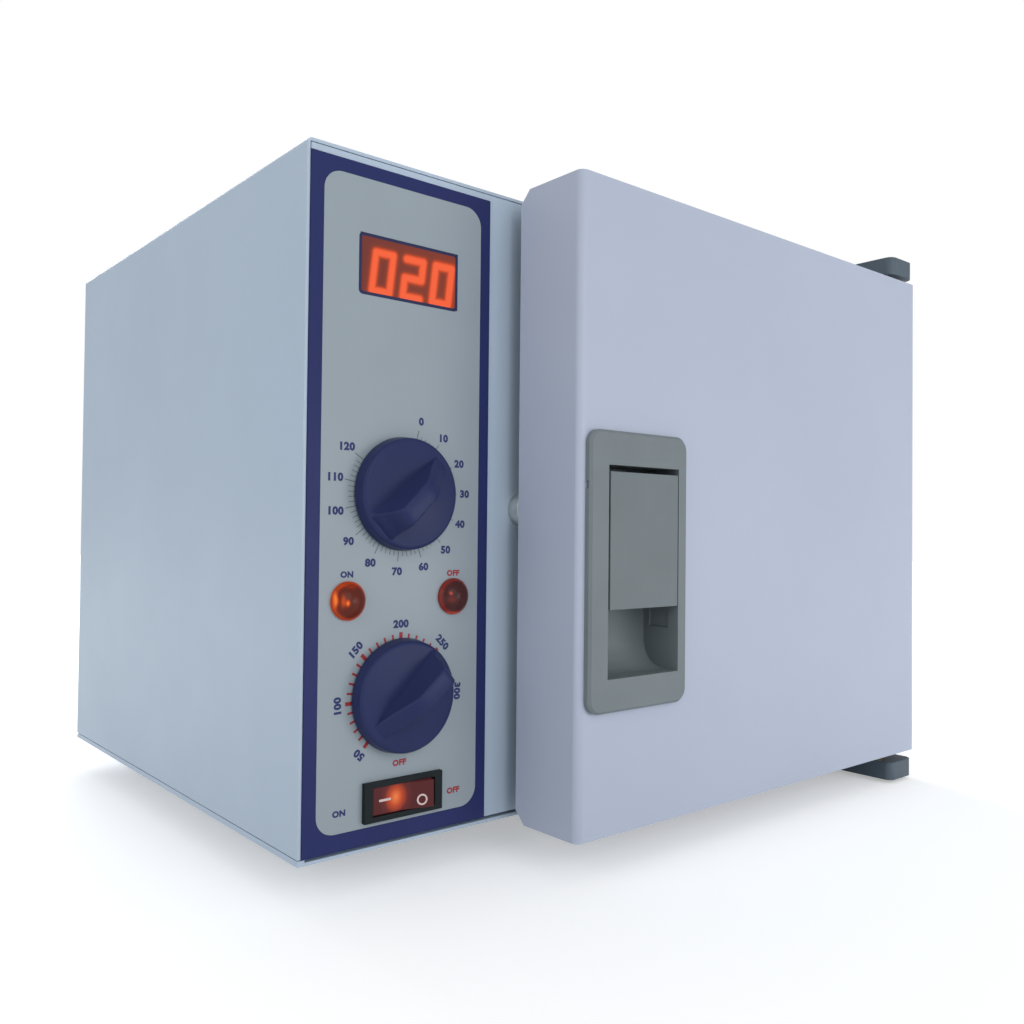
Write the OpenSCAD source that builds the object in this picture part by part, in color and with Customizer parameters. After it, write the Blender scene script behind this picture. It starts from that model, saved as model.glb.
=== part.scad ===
// Bench dry heat sterilizer: a sheet steel oven with controls on the left and a hinged door on the right.
// The source measures from the front left bottom corner of the body: X right, Y back, Z up.
// place() moves that corner so that the origin is under the middle of the whole object.

/* [Body] */
// Width of the body
body_w = 335; // [325:1:380]
// Height of the body without its feet
body_h = 245; // [238:1:280]
// Depth of the body
body_d = 251; // [244:1:300]
// Thickness of the painted sheet steel
sheet_t = 1.2; // [0.8:0.1:1.5]
// Gap between neighbouring sheets
seam = 0.3; // [0.2:0.05:0.5]
// Height of the base lip that shows under the cover
lip_h = 2.4; // [2.2:0.1:4]
// Outer radius of the cover's top bends
cover_r = 2; // [1.8:0.1:4]
// Depth of the folded flanges
flange_w = 14; // [10:1:18]
// Height of the rubber feet
foot_h = 15; // [14:1:25]
// Diameter of the rubber feet
foot_d = 24; // [20:1:30]
// Gap between a foot and the hinge bracket beside it
foot_gap = 2.2; // [2:0.2:8]
// Distance of the front feet's middles from the front
foot_front = 51; // [40:1:60]

/* [Chamber] */
// Distance of the chamber's side walls from the door's edges
chamber_side = 29.2; // [28:0.2:38]
// Distance of the chamber from the top and the bottom of the body
chamber_end = 28.5; // [28:0.5:34]
// Depth of the chamber
chamber_d = 212; // [190:1:214]
// Thickness of the stainless liner
liner_t = 1; // [0.8:0.1:1.5]
// Corner radius of the folded liner
liner_r = 1.6; // [1:0.1:3]
// Clear gap round soft and loose pieces
slack = 0.3; // [0.2:0.05:0.4]
// Diameter of the heater tube
heater_d = 6.5; // [5:0.5:8]
// Height of the heater tube over the chamber floor
heater_up = 12; // [10:1:14]
// Height of the heater guard over the chamber floor
guard_up = 22; // [20:1:28]
// Height of the lower tray's rail over the chamber floor
rail_low = 50; // [40:1:60]
// Distance of the top rail from the chamber's ceiling
rail_top = 50; // [46:1:56]
// Width of a rail
rail_w = 8; // [6:1:11]
// Height of the tray's rim
tray_h = 12; // [8:1:18]
// Thickness of the tray's sheet
tray_t = 1; // [0.8:0.1:1.5]

/* [Control panel] */
// Right edge of the printed overlay
overlay_right = 78.6; // [77:0.2:79.4]
// Width of the strip between the overlay and the body's edge
overlay_edge = 1.3; // [0.8:0.1:2]
// Thickness of the overlay
overlay_t = 0.5; // [0.3:0.1:0.8]
// Width of the overlay's dark border
border_w = 5; // [3:0.5:7]
// Corner radius of the overlay's pale field
field_r = 7; // [4:0.5:10]
// Distance of the dials' axes from the left edge
dial_x = 39.6; // [38:0.2:41]
// Height of the timer's axis
timer_z = 125.5; // [124:0.5:132]
// Height of the thermostat's axis
thermo_z = 53.3; // [50:0.1:55]
// Height of the lamps' axes
lamp_z = 88; // [86:0.5:90]
// Distance of the lamps from the dials' axis
lamp_side = 22; // [20:0.5:24]
// Diameter of a lamp's lens
lamp_d = 13.5; // [11:0.5:14]
// Height of a lamp's dome
lamp_h = 3.6; // [2:0.2:5]
// Distance of the display's middle from the body's top
display_down = 38.8; // [34:0.2:45]
// Width of the display window
display_w = 42.2; // [38:0.2:46]
// Height of the display window
display_h = 21.3; // [18:0.1:24]
// Distance of the display's middle from the left edge
display_x = 41.9; // [39:0.1:43]

/* [Knobs] */
// Diameter of a knob's skirt
knob_d = 41; // [36:1:42]
// Thickness of a knob's skirt
skirt_t = 5.6; // [4:0.2:7]
// Height of a knob's grip over its skirt
grip_h = 11.4; // [8:0.2:14]
// Half width of the grip's foot at its pointing end
grip_wide = 6.4; // [4:0.2:7]
// Half width of the grip's foot at its thin end
grip_thin = 2.6; // [1.5:0.1:3]
// Half width of the grip's flat top
grip_top = 3.8; // [3:0.1:4.5]
// Gap between a knob and the overlay
knob_gap = 0.6; // [0.4:0.1:1]
// Diameter of a control shaft
shaft_d = 6; // [5:0.5:7]
// Direction of the timer's grip, clockwise from straight up
timer_points = 226; // [16:1:304]
// Direction of the thermostat's grip, clockwise from straight up
thermo_points = 49; // [-180:1:92]

/* [Power switch] */
// Distance of the switch's middle from the left edge
rocker_x = 40.7; // [39:0.1:42]
// Height of the switch's middle
rocker_z = 17.1; // [16.6:0.1:18.5]
// Width of the switch's frame
rocker_w = 33; // [31:0.5:36]
// Height of the switch's frame
rocker_h = 14; // [13.6:0.2:15]
// Tilt of the rocker from its middle
rocker_tilt = 8; // [5:0.5:9]

/* [Door] */
// Distance of the door's free edge from the body's left side
door_left = 88.6; // [86:0.2:90]
// Thickness of the door
door_t = 34; // [33:0.5:38]
// Gap between the door and the body
door_gap = 7.4; // [6.8:0.1:9]
// Radius of the door's front upright edges
door_r = 3; // [2:0.5:5]
// Size of the cut corners at the rear of the door's side walls
door_clip = 5; // [3:0.5:7]
// Width of the gasket
gasket_w = 9; // [7:0.5:9.5]
// Distance of the gasket from the chamber's mouth
gasket_in = 3; // [1:0.5:3]

/* [Hinges] */
// Distance of the hinge pins from the door's hinge edge
pin_in = 13; // [12:0.2:13.4]
// Diameter of the hinge pins
pin_d = 6; // [4:0.5:7]
// Length of a hinge pin inside the door
pin_deep = 14; // [10:1:18]
// Radial clearance of a turning fit
fit_run = 0.05; // [0.02:0.01:0.1]
// Radial clearance of a pressed or screwed fit
fit_press = 0.02; // [0.01:0.01:0.04]
// Width of a hinge bracket
bracket_w = 21.5; // [20:0.5:24]
// Thickness of a hinge bracket
bracket_t = 9; // [7:0.2:9.4]
// Gap between the door and the top bracket
top_gap = 2.3; // [2:0.1:4]
// Gap between the door and the bottom bracket
bottom_gap = 4.2; // [3.4:0.1:4.4]
// Length of a hinge bracket over the body
bracket_back = 42; // [40:1:50]

/* [Latch] */
// Width of the latch bezel
bezel_w = 54; // [54:0.5:60]
// Height of the latch bezel
bezel_h = 104.2; // [104:0.2:120]
// Height of the latch bezel's middle
bezel_z = 98.1; // [96:0.1:100]
// Distance of the latch bezel from the door's free edge
bezel_in = 2.8; // [2.6:0.1:3]
// How far the latch bezel stands out of the door
bezel_out = 3; // [2.6:0.1:4]
// Corner radius of the latch bezel
bezel_r = 5.5; // [4:0.5:7]
// Width of the finger pocket
pocket_w = 39.3; // [39.3:0.1:40.5]
// Depth of the finger pocket from the door's front
pocket_d = 15; // [13:0.5:16]
// Radius of the finger pocket's lower back corner
pocket_r = 11; // [8:0.5:13]
// Height of the latch shaft
latch_z = 124; // [123.8:0.1:124.2]
// Depth of the latch shaft behind the bezel's front
latch_in = 7.4; // [7.2:0.1:7.6]
// Diameter of the latch shaft
latch_d = 4.5; // [4:0.1:4.6]
// Thickness of the paddle
paddle_t = 2.5; // [2:0.1:2.6]
// Length of the paddle below its shaft
paddle_down = 40.2; // [36:0.2:42]
// Length of the paddle above its shaft
paddle_up = 11; // [9:0.2:11.4]
// Diameter of the striker's collar
striker_d = 14; // [12:0.5:14]

/* [Hidden] */
$fn = 48;

painted = [0.66, 0.71, 0.77];
steel = [0.72, 0.73, 0.74];
navy = [0.16, 0.18, 0.36];
grey = [0.46, 0.5, 0.5];
black = [0.1, 0.1, 0.11];
dark_steel = [0.36, 0.4, 0.43];

eps = 0.01;

// Body levels and inside faces
in_left = sheet_t + seam;
in_right = body_w - sheet_t - seam;
in_top = body_h - sheet_t - seam;
back_in = body_d - 2 * sheet_t;
base_rim = lip_h - seam;
stop_h = lip_h + flange_w;

// Chamber inside faces, centred on the door
door_mid_x = (door_left + body_w) / 2;
mouth_l = door_left + chamber_side;
mouth_r = body_w - chamber_side;
chamber_w = mouth_r - mouth_l;
chamber_h = body_h - 2 * chamber_end;
mouth_b = chamber_end;
mouth_t = body_h - chamber_end;
chamber_front = sheet_t;
chamber_back = chamber_front + chamber_d;

// Partition between the controls and the oven
part_x = overlay_right + 1.4;

// Door faces
door_front = -door_gap - door_t;
door_rear = -door_gap;
door_sheet = sheet_t;
panel_t = 1;
plug_in = 5;
plug_t = door_gap - 2.4;
gasket_t = door_gap - slack;

// Hinge axis
pin_x = body_w - pin_in;
pin_y = -door_gap - door_t / 2;
bush_r = pin_d / 2 + 2;
bush_flange = 2;

// Latch
bezel_front = door_front - bezel_out;
bezel_l = door_left + bezel_in;
bezel_rt = bezel_l + bezel_w;
bezel_b = bezel_z - bezel_h / 2;
bezel_t = bezel_z + bezel_h / 2;
pocket_wall = 2;
pocket_l = bezel_rt - 5.4 - pocket_w;
pocket_rt = pocket_l + pocket_w;
pocket_b = bezel_b + 12.4;
pocket_t = latch_z + 13.4;
pocket_back = door_front + pocket_d;
latch_y = bezel_front + latch_in;
paddle_l = pocket_l + 1;
paddle_rt = pocket_rt - 0.4;
paddle_front = bezel_front;
paddle_back = paddle_front + paddle_t;
lug_w = 4;
lug_r = 3.6;
claw_w = 3.4;
claw_x = pocket_l - pocket_wall - 0.6 - claw_w;
spring_wire = 0.35;
spring_r = latch_d / 2 + 0.25 + spring_wire;
spring_turns = 6;
spring_l = paddle_l + lug_w + 3;
spring_len = 13;

// Striker on the body's front, which the claw holds from below
striker_x = claw_x + claw_w / 2;
striker_z = latch_z - 3;
striker_neck = 5;
striker_head = 10;
striker_collar = door_gap - 1.4;
striker_head_y = -17;
striker_head_t = 3;

// Display
display_z = body_h - display_down;

// Rocker switch
rocker_open_w = rocker_w - 6.6;
rocker_open_h = rocker_h - 3.8;
rocker_out = 2;
rocker_pivot_y = 2.5;
rocker_body_w = rocker_w - 5;
rocker_body_h = rocker_h - 2.4;

// Rear fittings
rear_out = 6;
inlet_x = 40;
inlet_z = 46;
fuse_x = 40;
fuse_z = 84;
fuse_r = 6;

// Middle of the whole object from front to back
mid_y = (bezel_front + body_d + rear_out) / 2;

module place() {
    translate([-body_w / 2, -mid_y, foot_h]) children();
}

// Box between two opposite corners
module block(a, b) {
    translate(a) cube([b[0] - a[0], b[1] - a[1], b[2] - a[2]]);
}

// Extrudes an outline in X and Z from depth y0 to depth y1
module along_y(y0, y1) {
    translate([0, y1, 0]) rotate([90, 0, 0]) linear_extrude(y1 - y0) children();
}

// Extrudes an outline in Y and Z from x0 to x1
module along_x(x0, x1) {
    translate([x0, 0, 0]) rotate([90, 0, 90]) linear_extrude(x1 - x0) children();
}

module rod_x(y, z, x0, x1, r) {
    translate([x0, y, z]) rotate([0, 90, 0]) cylinder(h = x1 - x0, r = r);
}

module rod_y(x, z, y0, y1, r) {
    translate([x, y1, z]) rotate([90, 0, 0]) cylinder(h = y1 - y0, r = r);
}

module rod_z(x, y, z0, z1, r) {
    translate([x, y, z0]) cylinder(h = z1 - z0, r = r);
}

// Rectangle with round corners, from its lower left to its upper right corner
module round_rect(x0, z0, x1, z1, r) {
    translate([x0 + r, z0]) square([x1 - x0 - 2 * r, z1 - z0]);
    translate([x0, z0 + r]) square([x1 - x0, z1 - z0 - 2 * r]);
    for (x = [x0 + r, x1 - r], z = [z0 + r, z1 - r])
        translate([x, z]) circle(r);
}

// Straight tube between two points
module tube(a, b, r) {
    d = b - a;
    translate(a)
        rotate([0, acos(d[2] / norm(d)), atan2(d[1], d[0])])
            cylinder(h = norm(d), r = r, $fn = 24);
}

// Tube along a list of points, with ball corners
module tube_path(points, r) {
    for (i = [0 : len(points) - 2]) tube(points[i], points[i + 1], r);
    for (i = [1 : len(points) - 2]) translate(points[i]) sphere(r, $fn = 24);
}

// Pan head screw with its head behind y
module screw_back(x, z, y, length, head_r, head_t, r) {
    rod_y(x, z, y, y + head_t, head_r);
    rod_y(x, z, y - length, y + eps, r);
}

// Places of the pieces that repeat
foot_in = pin_in + bracket_w / 2 + foot_d / 2 + foot_gap;
foot_places = [for (x = [foot_in, body_w - foot_in], y = [foot_front, body_d - foot_in]) [x, y]];
foot_hole_r = 2.1;
back_screw_r = 1.6;
back_screw_head_r = 3.2;
back_screw_in = 22;
back_screw_x = [back_screw_in, body_w / 2, body_w - back_screw_in];
back_screw_places = [
    for (x = back_screw_x) [x, in_top - flange_w / 2],
    for (x = back_screw_x) [x, stop_h - flange_w / 2]
];
inlet_screw_pitch = 40;
inlet_screw_places = [for (s = [-1, 1]) [inlet_x + s * inlet_screw_pitch / 2, inlet_z]];
bracket_x = pin_x;
bracket_front = door_front;
bracket_screw_y = [flange_w + 6, bracket_back - 8];
bracket_screw_r = 2;
bracket_r = 4;
bracket_head_r = 3.8;
bracket_head_t = 2.6;
bracket_sink = 3;
bracket_nut_r = 3.6;
bracket_nut_t = 3;

/* Casing */

module outer_cover() color(painted) place() {
    difference() {
        along_y(0, body_d) difference() {
            union() {
                round_rect(0, body_h / 2, body_w, body_h, cover_r);
                translate([0, lip_h]) square([body_w, body_h - lip_h - cover_r]);
            }
            translate([sheet_t, lip_h - 1]) square([body_w - 2 * sheet_t, body_h - lip_h + 1 - sheet_t]);
        }
        for (y = bracket_screw_y)
            rod_z(bracket_x, y, body_h - 5, body_h + 5, bracket_screw_r + 0.1);
    }
    difference() {
        along_y(back_in, body_d - sheet_t) difference() {
            translate([sheet_t, lip_h]) square([body_w - 2 * sheet_t, body_h - sheet_t - lip_h]);
            translate([flange_w, lip_h - 1]) square([body_w - 2 * flange_w, in_top - flange_w - lip_h + 1]);
        }
        block([0, back_in - 1, 0], [body_w, body_d, stop_h + seam]);
        for (p = back_screw_places)
            rod_y(p[0], p[1], back_in - 1, body_d, back_screw_r + 0.1);
    }
}

module base_tray() color(painted) place() difference() {
    union() {
        block([0, 0, 0], [body_w, body_d, sheet_t]);
        for (x = [0, body_w - 2 * sheet_t - seam])
            block([x, 0, 0], [x + 2 * sheet_t + seam, body_d - sheet_t - seam, base_rim]);
        for (x = [in_left, in_right - sheet_t])
            block([x, flange_w + 1, 0], [x + sheet_t, back_in, stop_h]);
        block([in_left, back_in, 0], [in_right, body_d - sheet_t, stop_h]);
    }
    for (p = foot_places) rod_z(p[0], p[1], -1, sheet_t + 1, foot_hole_r);
    for (y = bracket_screw_y) rod_z(bracket_x, y, -1, sheet_t + 1, bracket_screw_r + 0.1);
    for (p = back_screw_places) rod_y(p[0], p[1], back_in - 1, body_d, back_screw_r + 0.1);
}

vent_w = 22;
vent_h = 3;
vent_pitch = 8;
vent_rows = 8;
vent_l = 14;
vent_step = 28;
vent_down = 95;
low_vents = 6;
low_vent_l = 115;
low_vent_in = 28;
low_vent_z = 40;
low_vent_step = (body_w - low_vent_in - vent_w - low_vent_l) / (low_vents - 1);
vent_places = [
    for (x = [vent_l, vent_l + vent_step], i = [0 : vent_rows - 1]) [x, body_h - vent_down + i * vent_pitch],
    for (i = [0 : low_vents - 1]) [low_vent_l + i * low_vent_step, low_vent_z]
];
inlet_hole_w = 27;
inlet_hole_h = 20;

module back_panel() color(painted) place() difference() {
    block([in_left, body_d - sheet_t, sheet_t + seam], [in_right, body_d, in_top]);
    for (p = vent_places)
        along_y(body_d - 3, body_d + 1)
            round_rect(p[0], p[1], p[0] + vent_w, p[1] + vent_h, vent_h / 2 - eps);
    along_y(body_d - 3, body_d + 1)
        translate([inlet_x - inlet_hole_w / 2, inlet_z - inlet_hole_h / 2]) square([inlet_hole_w, inlet_hole_h]);
    rod_y(fuse_x, fuse_z, body_d - 3, body_d + 1, fuse_r + 0.1);
    for (p = concat(back_screw_places, inlet_screw_places))
        rod_y(p[0], p[1], body_d - 3, body_d + 1, back_screw_r + 0.1);
}

control_hole_r = 5.1;
lamp_hole_r = 4.6;
window_rest = 1.5;
cut_gap = 0.2;

module front_fascia() color(painted) place() difference() {
    union() {
        block([in_left, 0, lip_h], [in_right, sheet_t, in_top]);
        for (x = [in_left, in_right - sheet_t])
            block([x, 0, lip_h], [x + sheet_t, flange_w, in_top]);
        for (z = [lip_h, in_top - sheet_t])
            block([in_left, 0, z], [in_right, flange_w, z + sheet_t]);
    }
    along_y(-1, sheet_t + 1) round_rect(mouth_l, mouth_b, mouth_r, mouth_t, liner_r);
    for (z = [timer_z, thermo_z]) rod_y(dial_x, z, -1, sheet_t + 1, control_hole_r);
    for (s = [-1, 1]) rod_y(dial_x + s * lamp_side, lamp_z, -1, sheet_t + 1, lamp_hole_r);
    block([rocker_x - rocker_body_w / 2 - cut_gap, -1, rocker_z - rocker_body_h / 2 - cut_gap],
          [rocker_x + rocker_body_w / 2 + cut_gap, sheet_t + 1, rocker_z + rocker_body_h / 2 + cut_gap]);
    block([display_x - display_w / 2 + window_rest, -1, display_z - display_h / 2 + window_rest],
          [display_x + display_w / 2 - window_rest, sheet_t + 1, display_z + display_h / 2 - window_rest]);
    rod_y(striker_x, striker_z, -1, sheet_t + 1, striker_neck / 2 + 0.1);
}

overlay_top = body_h - 4;
field_gap = 0.05;
window_gap = 0.1;
field_l = overlay_edge + border_w;
field_rt = overlay_right - border_w + 0.5;
field_b = lip_h + border_w + 1;
field_t = overlay_top - border_w + 0.2;

module overlay_border() color(navy) place() along_y(-overlay_t, 0) difference() {
    translate([overlay_edge, lip_h]) square([overlay_right - overlay_edge, overlay_top - lip_h]);
    round_rect(field_l, field_b, field_rt, field_t, field_r);
}

module overlay_field() color([0.6, 0.64, 0.67]) place() along_y(-overlay_t, 0) difference() {
    round_rect(field_l + field_gap, field_b + field_gap, field_rt - field_gap, field_t - field_gap, field_r);
    translate([display_x - display_w / 2 - window_gap, display_z - display_h / 2 - window_gap])
        square([display_w + 2 * window_gap, display_h + 2 * window_gap]);
    for (z = [timer_z, thermo_z]) translate([dial_x, z]) circle(control_hole_r);
    for (s = [-1, 1]) translate([dial_x + s * lamp_side, lamp_z]) circle(lamp_hole_r);
    translate([rocker_x - rocker_body_w / 2 - cut_gap, rocker_z - rocker_body_h / 2 - cut_gap])
        square([rocker_body_w + 2 * cut_gap, rocker_body_h + 2 * cut_gap]);
}

part_foot = 12;
part_back = back_in - 4;
part_hole_r = 2.5;
lead_hole_r = 5;
lead_z = 60;

module partition_plate() color(steel) place() difference() {
    union() {
        block([part_x, flange_w + slack, sheet_t], [part_x + sheet_t, part_back, in_top - slack]);
        block([part_x - part_foot, flange_w + slack, sheet_t], [part_x, part_back, 2 * sheet_t]);
    }
    rod_x(capillary_y, capillary_z, part_x - 1, part_x + 5, part_hole_r);
    rod_x(probe_y, probe_z, part_x - 1, part_x + 5, probe_d / 2 + 0.1);
    rod_x(back_in - 7, lead_z, part_x - 1, part_x + 5, lead_hole_r);
}

/* Oven */

module chamber_liner() color(steel) place() difference() {
    union() {
        along_y(chamber_front, chamber_back + liner_t) difference() {
            round_rect(mouth_l - liner_t, mouth_b - liner_t, mouth_r + liner_t, mouth_t + liner_t, liner_r + liner_t);
            round_rect(mouth_l, mouth_b, mouth_r, mouth_t, liner_r);
        }
        along_y(chamber_back, chamber_back + liner_t)
            round_rect(mouth_l - liner_t, mouth_b - liner_t, mouth_r + liner_t, mouth_t + liner_t, liner_r + liner_t);
        along_y(chamber_front, chamber_front + liner_t) difference() {
            round_rect(mouth_l - flange_w + 4, mouth_b - flange_w + 4, mouth_r + flange_w - 4,
                       mouth_t + flange_w - 4, liner_r + liner_t);
            round_rect(mouth_l, mouth_b, mouth_r, mouth_t, liner_r);
        }
    }
    for (s = [-1, 1])
        rod_y(door_mid_x + s * heater_span / 2, mouth_b + heater_up, chamber_back - 1, chamber_back + 3, gland_r);
    rod_x(capillary_y, capillary_z, mouth_l - 3, mouth_l + 1, capillary_d / 2 + 0.3);
    rod_x(probe_y, probe_z, mouth_l - 3, mouth_l + 1, probe_d / 2 + 0.1);
    for (p = stud_places) {
        rod_x(p[0], p[1], mouth_l - 3, mouth_l + 1, stud_r + 0.1);
        rod_x(p[0], p[1], mouth_r - 1, mouth_r + 3, stud_r + 0.1);
    }
}

slab_in = 9;
slab_b = slab_in;
slab_t = body_h - slab_in;
slab_back = back_in - 12;
cutout_room = 14;
slab_front = flange_w + slack;

module insulation_slabs() color([0.85, 0.82, 0.68]) place() {
    out = liner_t + slack;
    l0 = part_x + sheet_t + slack;
    r0 = in_right - sheet_t - slack;
    block([l0, slab_front, slab_b], [r0, slab_back, mouth_b - out]);
    block([l0, slab_front, mouth_t + out], [r0, slab_back, slab_t]);
    difference() {
        block([l0, slab_front, mouth_b - out + slack], [mouth_l - out, slab_back, mouth_t + out - slack]);
        rod_x(capillary_y, capillary_z, l0 - 1, mouth_l, part_hole_r);
        rod_x(probe_y, probe_z, l0 - 1, mouth_l, probe_d / 2 + slack);
        block([mouth_l - cutout_room, cutout_y - cutout_room, cutout_z - cutout_room],
              [mouth_l, cutout_y + cutout_room, cutout_z + cutout_room]);
    }
    block([mouth_r + out, slab_front, mouth_b - out + slack], [r0, slab_back, mouth_t + out - slack]);
    difference() {
        block([mouth_l - out + slack, chamber_back + liner_t + slack, mouth_b - out + slack],
              [mouth_r + out - slack, slab_back, mouth_t + out - slack]);
        for (s = [-1, 1])
            rod_y(door_mid_x + s * heater_span / 2, mouth_b + heater_up, chamber_back - 1, body_d,
                  gland_r + gland_rim + slack);
    }
}

// The heater is a four-leg loop that enters and leaves through the rear wall
heater_legs = 4;
heater_leg_pitch = chamber_w / 4.6;
heater_span = heater_leg_pitch * (heater_legs - 1);
heater_bend = heater_leg_pitch / 2;
heater_end = slab_back + 1;
// The legs reach this far into the bends
heater_lap = 1;
heater_front = 18;
heater_rear = 24;
gland_r = heater_d / 2 + 1.5;
gland_rim = 2;

module heater_tube() color(dark_steel) place()
    translate([door_mid_x - heater_span / 2, 0, mouth_b + heater_up]) {
        near = heater_front + heater_bend;
        far = chamber_back - heater_rear - heater_bend;
        for (i = [0 : heater_legs - 1]) {
            y1 = (i == 0 || i == heater_legs - 1) ? heater_end : far + heater_lap;
            rod_y(i * heater_leg_pitch, 0, near - heater_lap, y1, heater_d / 2 - 0.05);
        }
        for (i = [0 : heater_legs - 2])
            translate([(i + 0.5) * heater_leg_pitch, i % 2 == 0 ? near : far, 0])
                rotate([0, 0, i % 2 == 0 ? 180 : 0])
                    rotate_extrude(angle = 180) translate([heater_bend, 0]) circle(heater_d / 2);
    }

module heater_glands() color("peru") place()
    for (s = [-1, 1]) {
        x = door_mid_x + s * heater_span / 2;
        z = mouth_b + heater_up;
        difference() {
            union() {
                rod_y(x, z, chamber_back - 3, chamber_back, gland_r + gland_rim);
                rod_y(x, z, chamber_back - eps, chamber_back + 8, gland_r - fit_press);
                rod_y(x, z, chamber_back + liner_t, chamber_back + liner_t + 4, gland_r + gland_rim);
            }
            rod_y(x, z, chamber_back - 5, chamber_back + 12, heater_d / 2 + fit_press);
        }
    }

guard_gap = 1.5;
guard_leg_in = 6;
guard_cols = 7;
guard_rows = 13;
guard_edge_x = 20;
guard_edge_y = 18;
guard_slot_w = 14;
guard_slot_h = 3.5;

module heater_guard() color(steel) place() difference() {
    x0 = mouth_l + guard_gap;
    x1 = mouth_r - guard_gap;
    y0 = chamber_front + 4;
    y1 = chamber_back - 6;
    z1 = mouth_b + guard_up;
    step_x = (x1 - x0 - 2 * guard_edge_x) / guard_cols;
    step_y = (y1 - y0 - 2 * guard_edge_y) / guard_rows;
    union() {
        block([x0, y0, z1 - liner_t], [x1, y1, z1]);
        for (x = [x0 + guard_leg_in, x1 - guard_leg_in - liner_t])
            block([x, y0, mouth_b], [x + liner_t, y1, z1 - liner_t + eps]);
        block([x0 + guard_leg_in, y0, mouth_b + 2], [x1 - guard_leg_in, y0 + liner_t, z1 - liner_t + eps]);
    }
    for (i = [0 : guard_cols - 1], j = [0 : guard_rows - 1])
        translate([x0 + guard_edge_x + i * step_x, y0 + guard_edge_y + j * step_y, z1 - 3])
            cube([guard_slot_w, guard_slot_h, 4]);
}

rack_t = 1.2;
rack_count = 3;
rail_pitch = (chamber_h - rail_low - rail_top) / (rack_count - 1);
rack_post = 16;
rail_side = 8;
stud_in = 8;
stud_end = 5;
stud_head_r = 3;
stud_head_t = 1.2;
stud_r = 1.5;
rack_y0 = chamber_front + 8;
rack_y1 = chamber_back - 8;
rack_b = mouth_b + guard_up + 6;
rack_top = mouth_b + rail_low + (rack_count - 1) * rail_pitch + 14;
stud_places = [for (y = [rack_y0 + stud_in, rack_y1 - stud_in], z = [rack_b + stud_end, rack_top - stud_end]) [y, z]];

module tray_rack() {
    for (y = [rack_y0, rack_y1 - rack_post])
        block([0, y, rack_b], [rack_t, y + rack_post, rack_top]);
    for (i = [0 : rack_count - 1]) {
        z = mouth_b + rail_low + i * rail_pitch;
        block([0, rack_y0, z - rack_t], [rail_w, rack_y1, z]);
        block([0, rack_y0, z - rail_side], [rack_t, rack_y1, z]);
    }
}

module tray_racks() color(steel) place() difference() {
    union() {
        translate([mouth_l, 0, 0]) tray_rack();
        translate([mouth_r, 0, 0]) mirror([1, 0, 0]) tray_rack();
    }
    for (p = stud_places) {
        rod_x(p[0], p[1], mouth_l - 1, mouth_l + 3, stud_r + 0.1);
        rod_x(p[0], p[1], mouth_r - 3, mouth_r + 1, stud_r + 0.1);
    }
}

module rack_studs() color("silver") place()
    for (p = stud_places) {
        rod_x(p[0], p[1], mouth_l - liner_t, mouth_l + rack_t + eps, stud_r);
        rod_x(p[0], p[1], mouth_l + rack_t, mouth_l + rack_t + stud_head_t, stud_head_r);
        rod_x(p[0], p[1], mouth_r - rack_t - eps, mouth_r + liner_t, stud_r);
        rod_x(p[0], p[1], mouth_r - rack_t - stud_head_t, mouth_r - rack_t, stud_head_r);
    }

tray_side = rack_t + 2;
tray_hole_r = 3;
tray_hole_in = 18;
tray_cols = 8;
tray_rows = 8;

module tray(level) {
    x0 = mouth_l + tray_side;
    x1 = mouth_r - tray_side;
    y0 = rack_y0 + 2;
    y1 = rack_y1 - 2;
    z = mouth_b + rail_low + level * rail_pitch;
    step_x = (x1 - x0 - 2 * tray_hole_in) / (tray_cols - 1);
    step_y = (y1 - y0 - 2 * tray_hole_in) / (tray_rows - 1);
    difference() {
        union() {
            block([x0, y0, z], [x1, y1, z + tray_t]);
            difference() {
                block([x0, y0, z], [x1, y1, z + tray_h]);
                block([x0 + tray_t, y0 + tray_t, z - 1], [x1 - tray_t, y1 - tray_t, z + tray_h + 1]);
            }
        }
        translate([0, 0, z - 1]) linear_extrude(tray_t + 2)
            for (i = [0 : tray_cols - 1], j = [0 : tray_rows - 1])
                translate([x0 + tray_hole_in + i * step_x, y0 + tray_hole_in + j * step_y])
                    circle(tray_hole_r, $fn = 24);
    }
}

module tray_lower() color("lightgray") place() tray(0);

module tray_upper() color("lightgray") place() tray(2);

/* Controls */

timer_depth = 30;
thermo_depth = 26;
control_half = 22;
control_half_h = 20;
control_bore = 14;
control_screw_x = 17;
control_screw_head_r = 2.6;
control_screw_head_t = 1.6;

// A control stands behind the fascia: its case, its threaded neck and a hole for its shaft
module control(z, depth) difference() {
    union() {
        block([dial_x - control_half, sheet_t, z - control_half_h],
              [dial_x + control_half, sheet_t + depth, z + control_half_h]);
        rod_y(dial_x, z, -overlay_t, sheet_t + eps, control_hole_r - 0.1);
    }
    rod_y(dial_x, z, -overlay_t - 1, control_bore, shaft_d / 2 + fit_run);
}

module thermostat_body() color("gainsboro") place() control(thermo_z, thermo_depth);

module timer_body() color("whitesmoke") place() control(timer_z, timer_depth);

// Screws that close the rear of each control's case
module control_screws() color("silver") place()
    for (s = [-1, 1]) {
        x = dial_x + s * control_screw_x;
        timer_back = sheet_t + timer_depth;
        thermo_back = sheet_t + thermo_depth;
        rod_y(x, timer_z, timer_back, timer_back + control_screw_head_t, control_screw_head_r);
        rod_y(x, thermo_z, thermo_back, thermo_back + control_screw_head_t, control_screw_head_r);
    }

// Shaft in its own frame: along -Y from the control to the knob
shaft_back = 12;
knob_bore = 13;
shaft_front = knob_gap + overlay_t + knob_bore;

module control_shaft(z) rod_y(dial_x, z, -shaft_front, shaft_back, shaft_d / 2);

// Half width of the grip's top over its thin end
grip_tip = grip_thin + 0.8;

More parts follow.
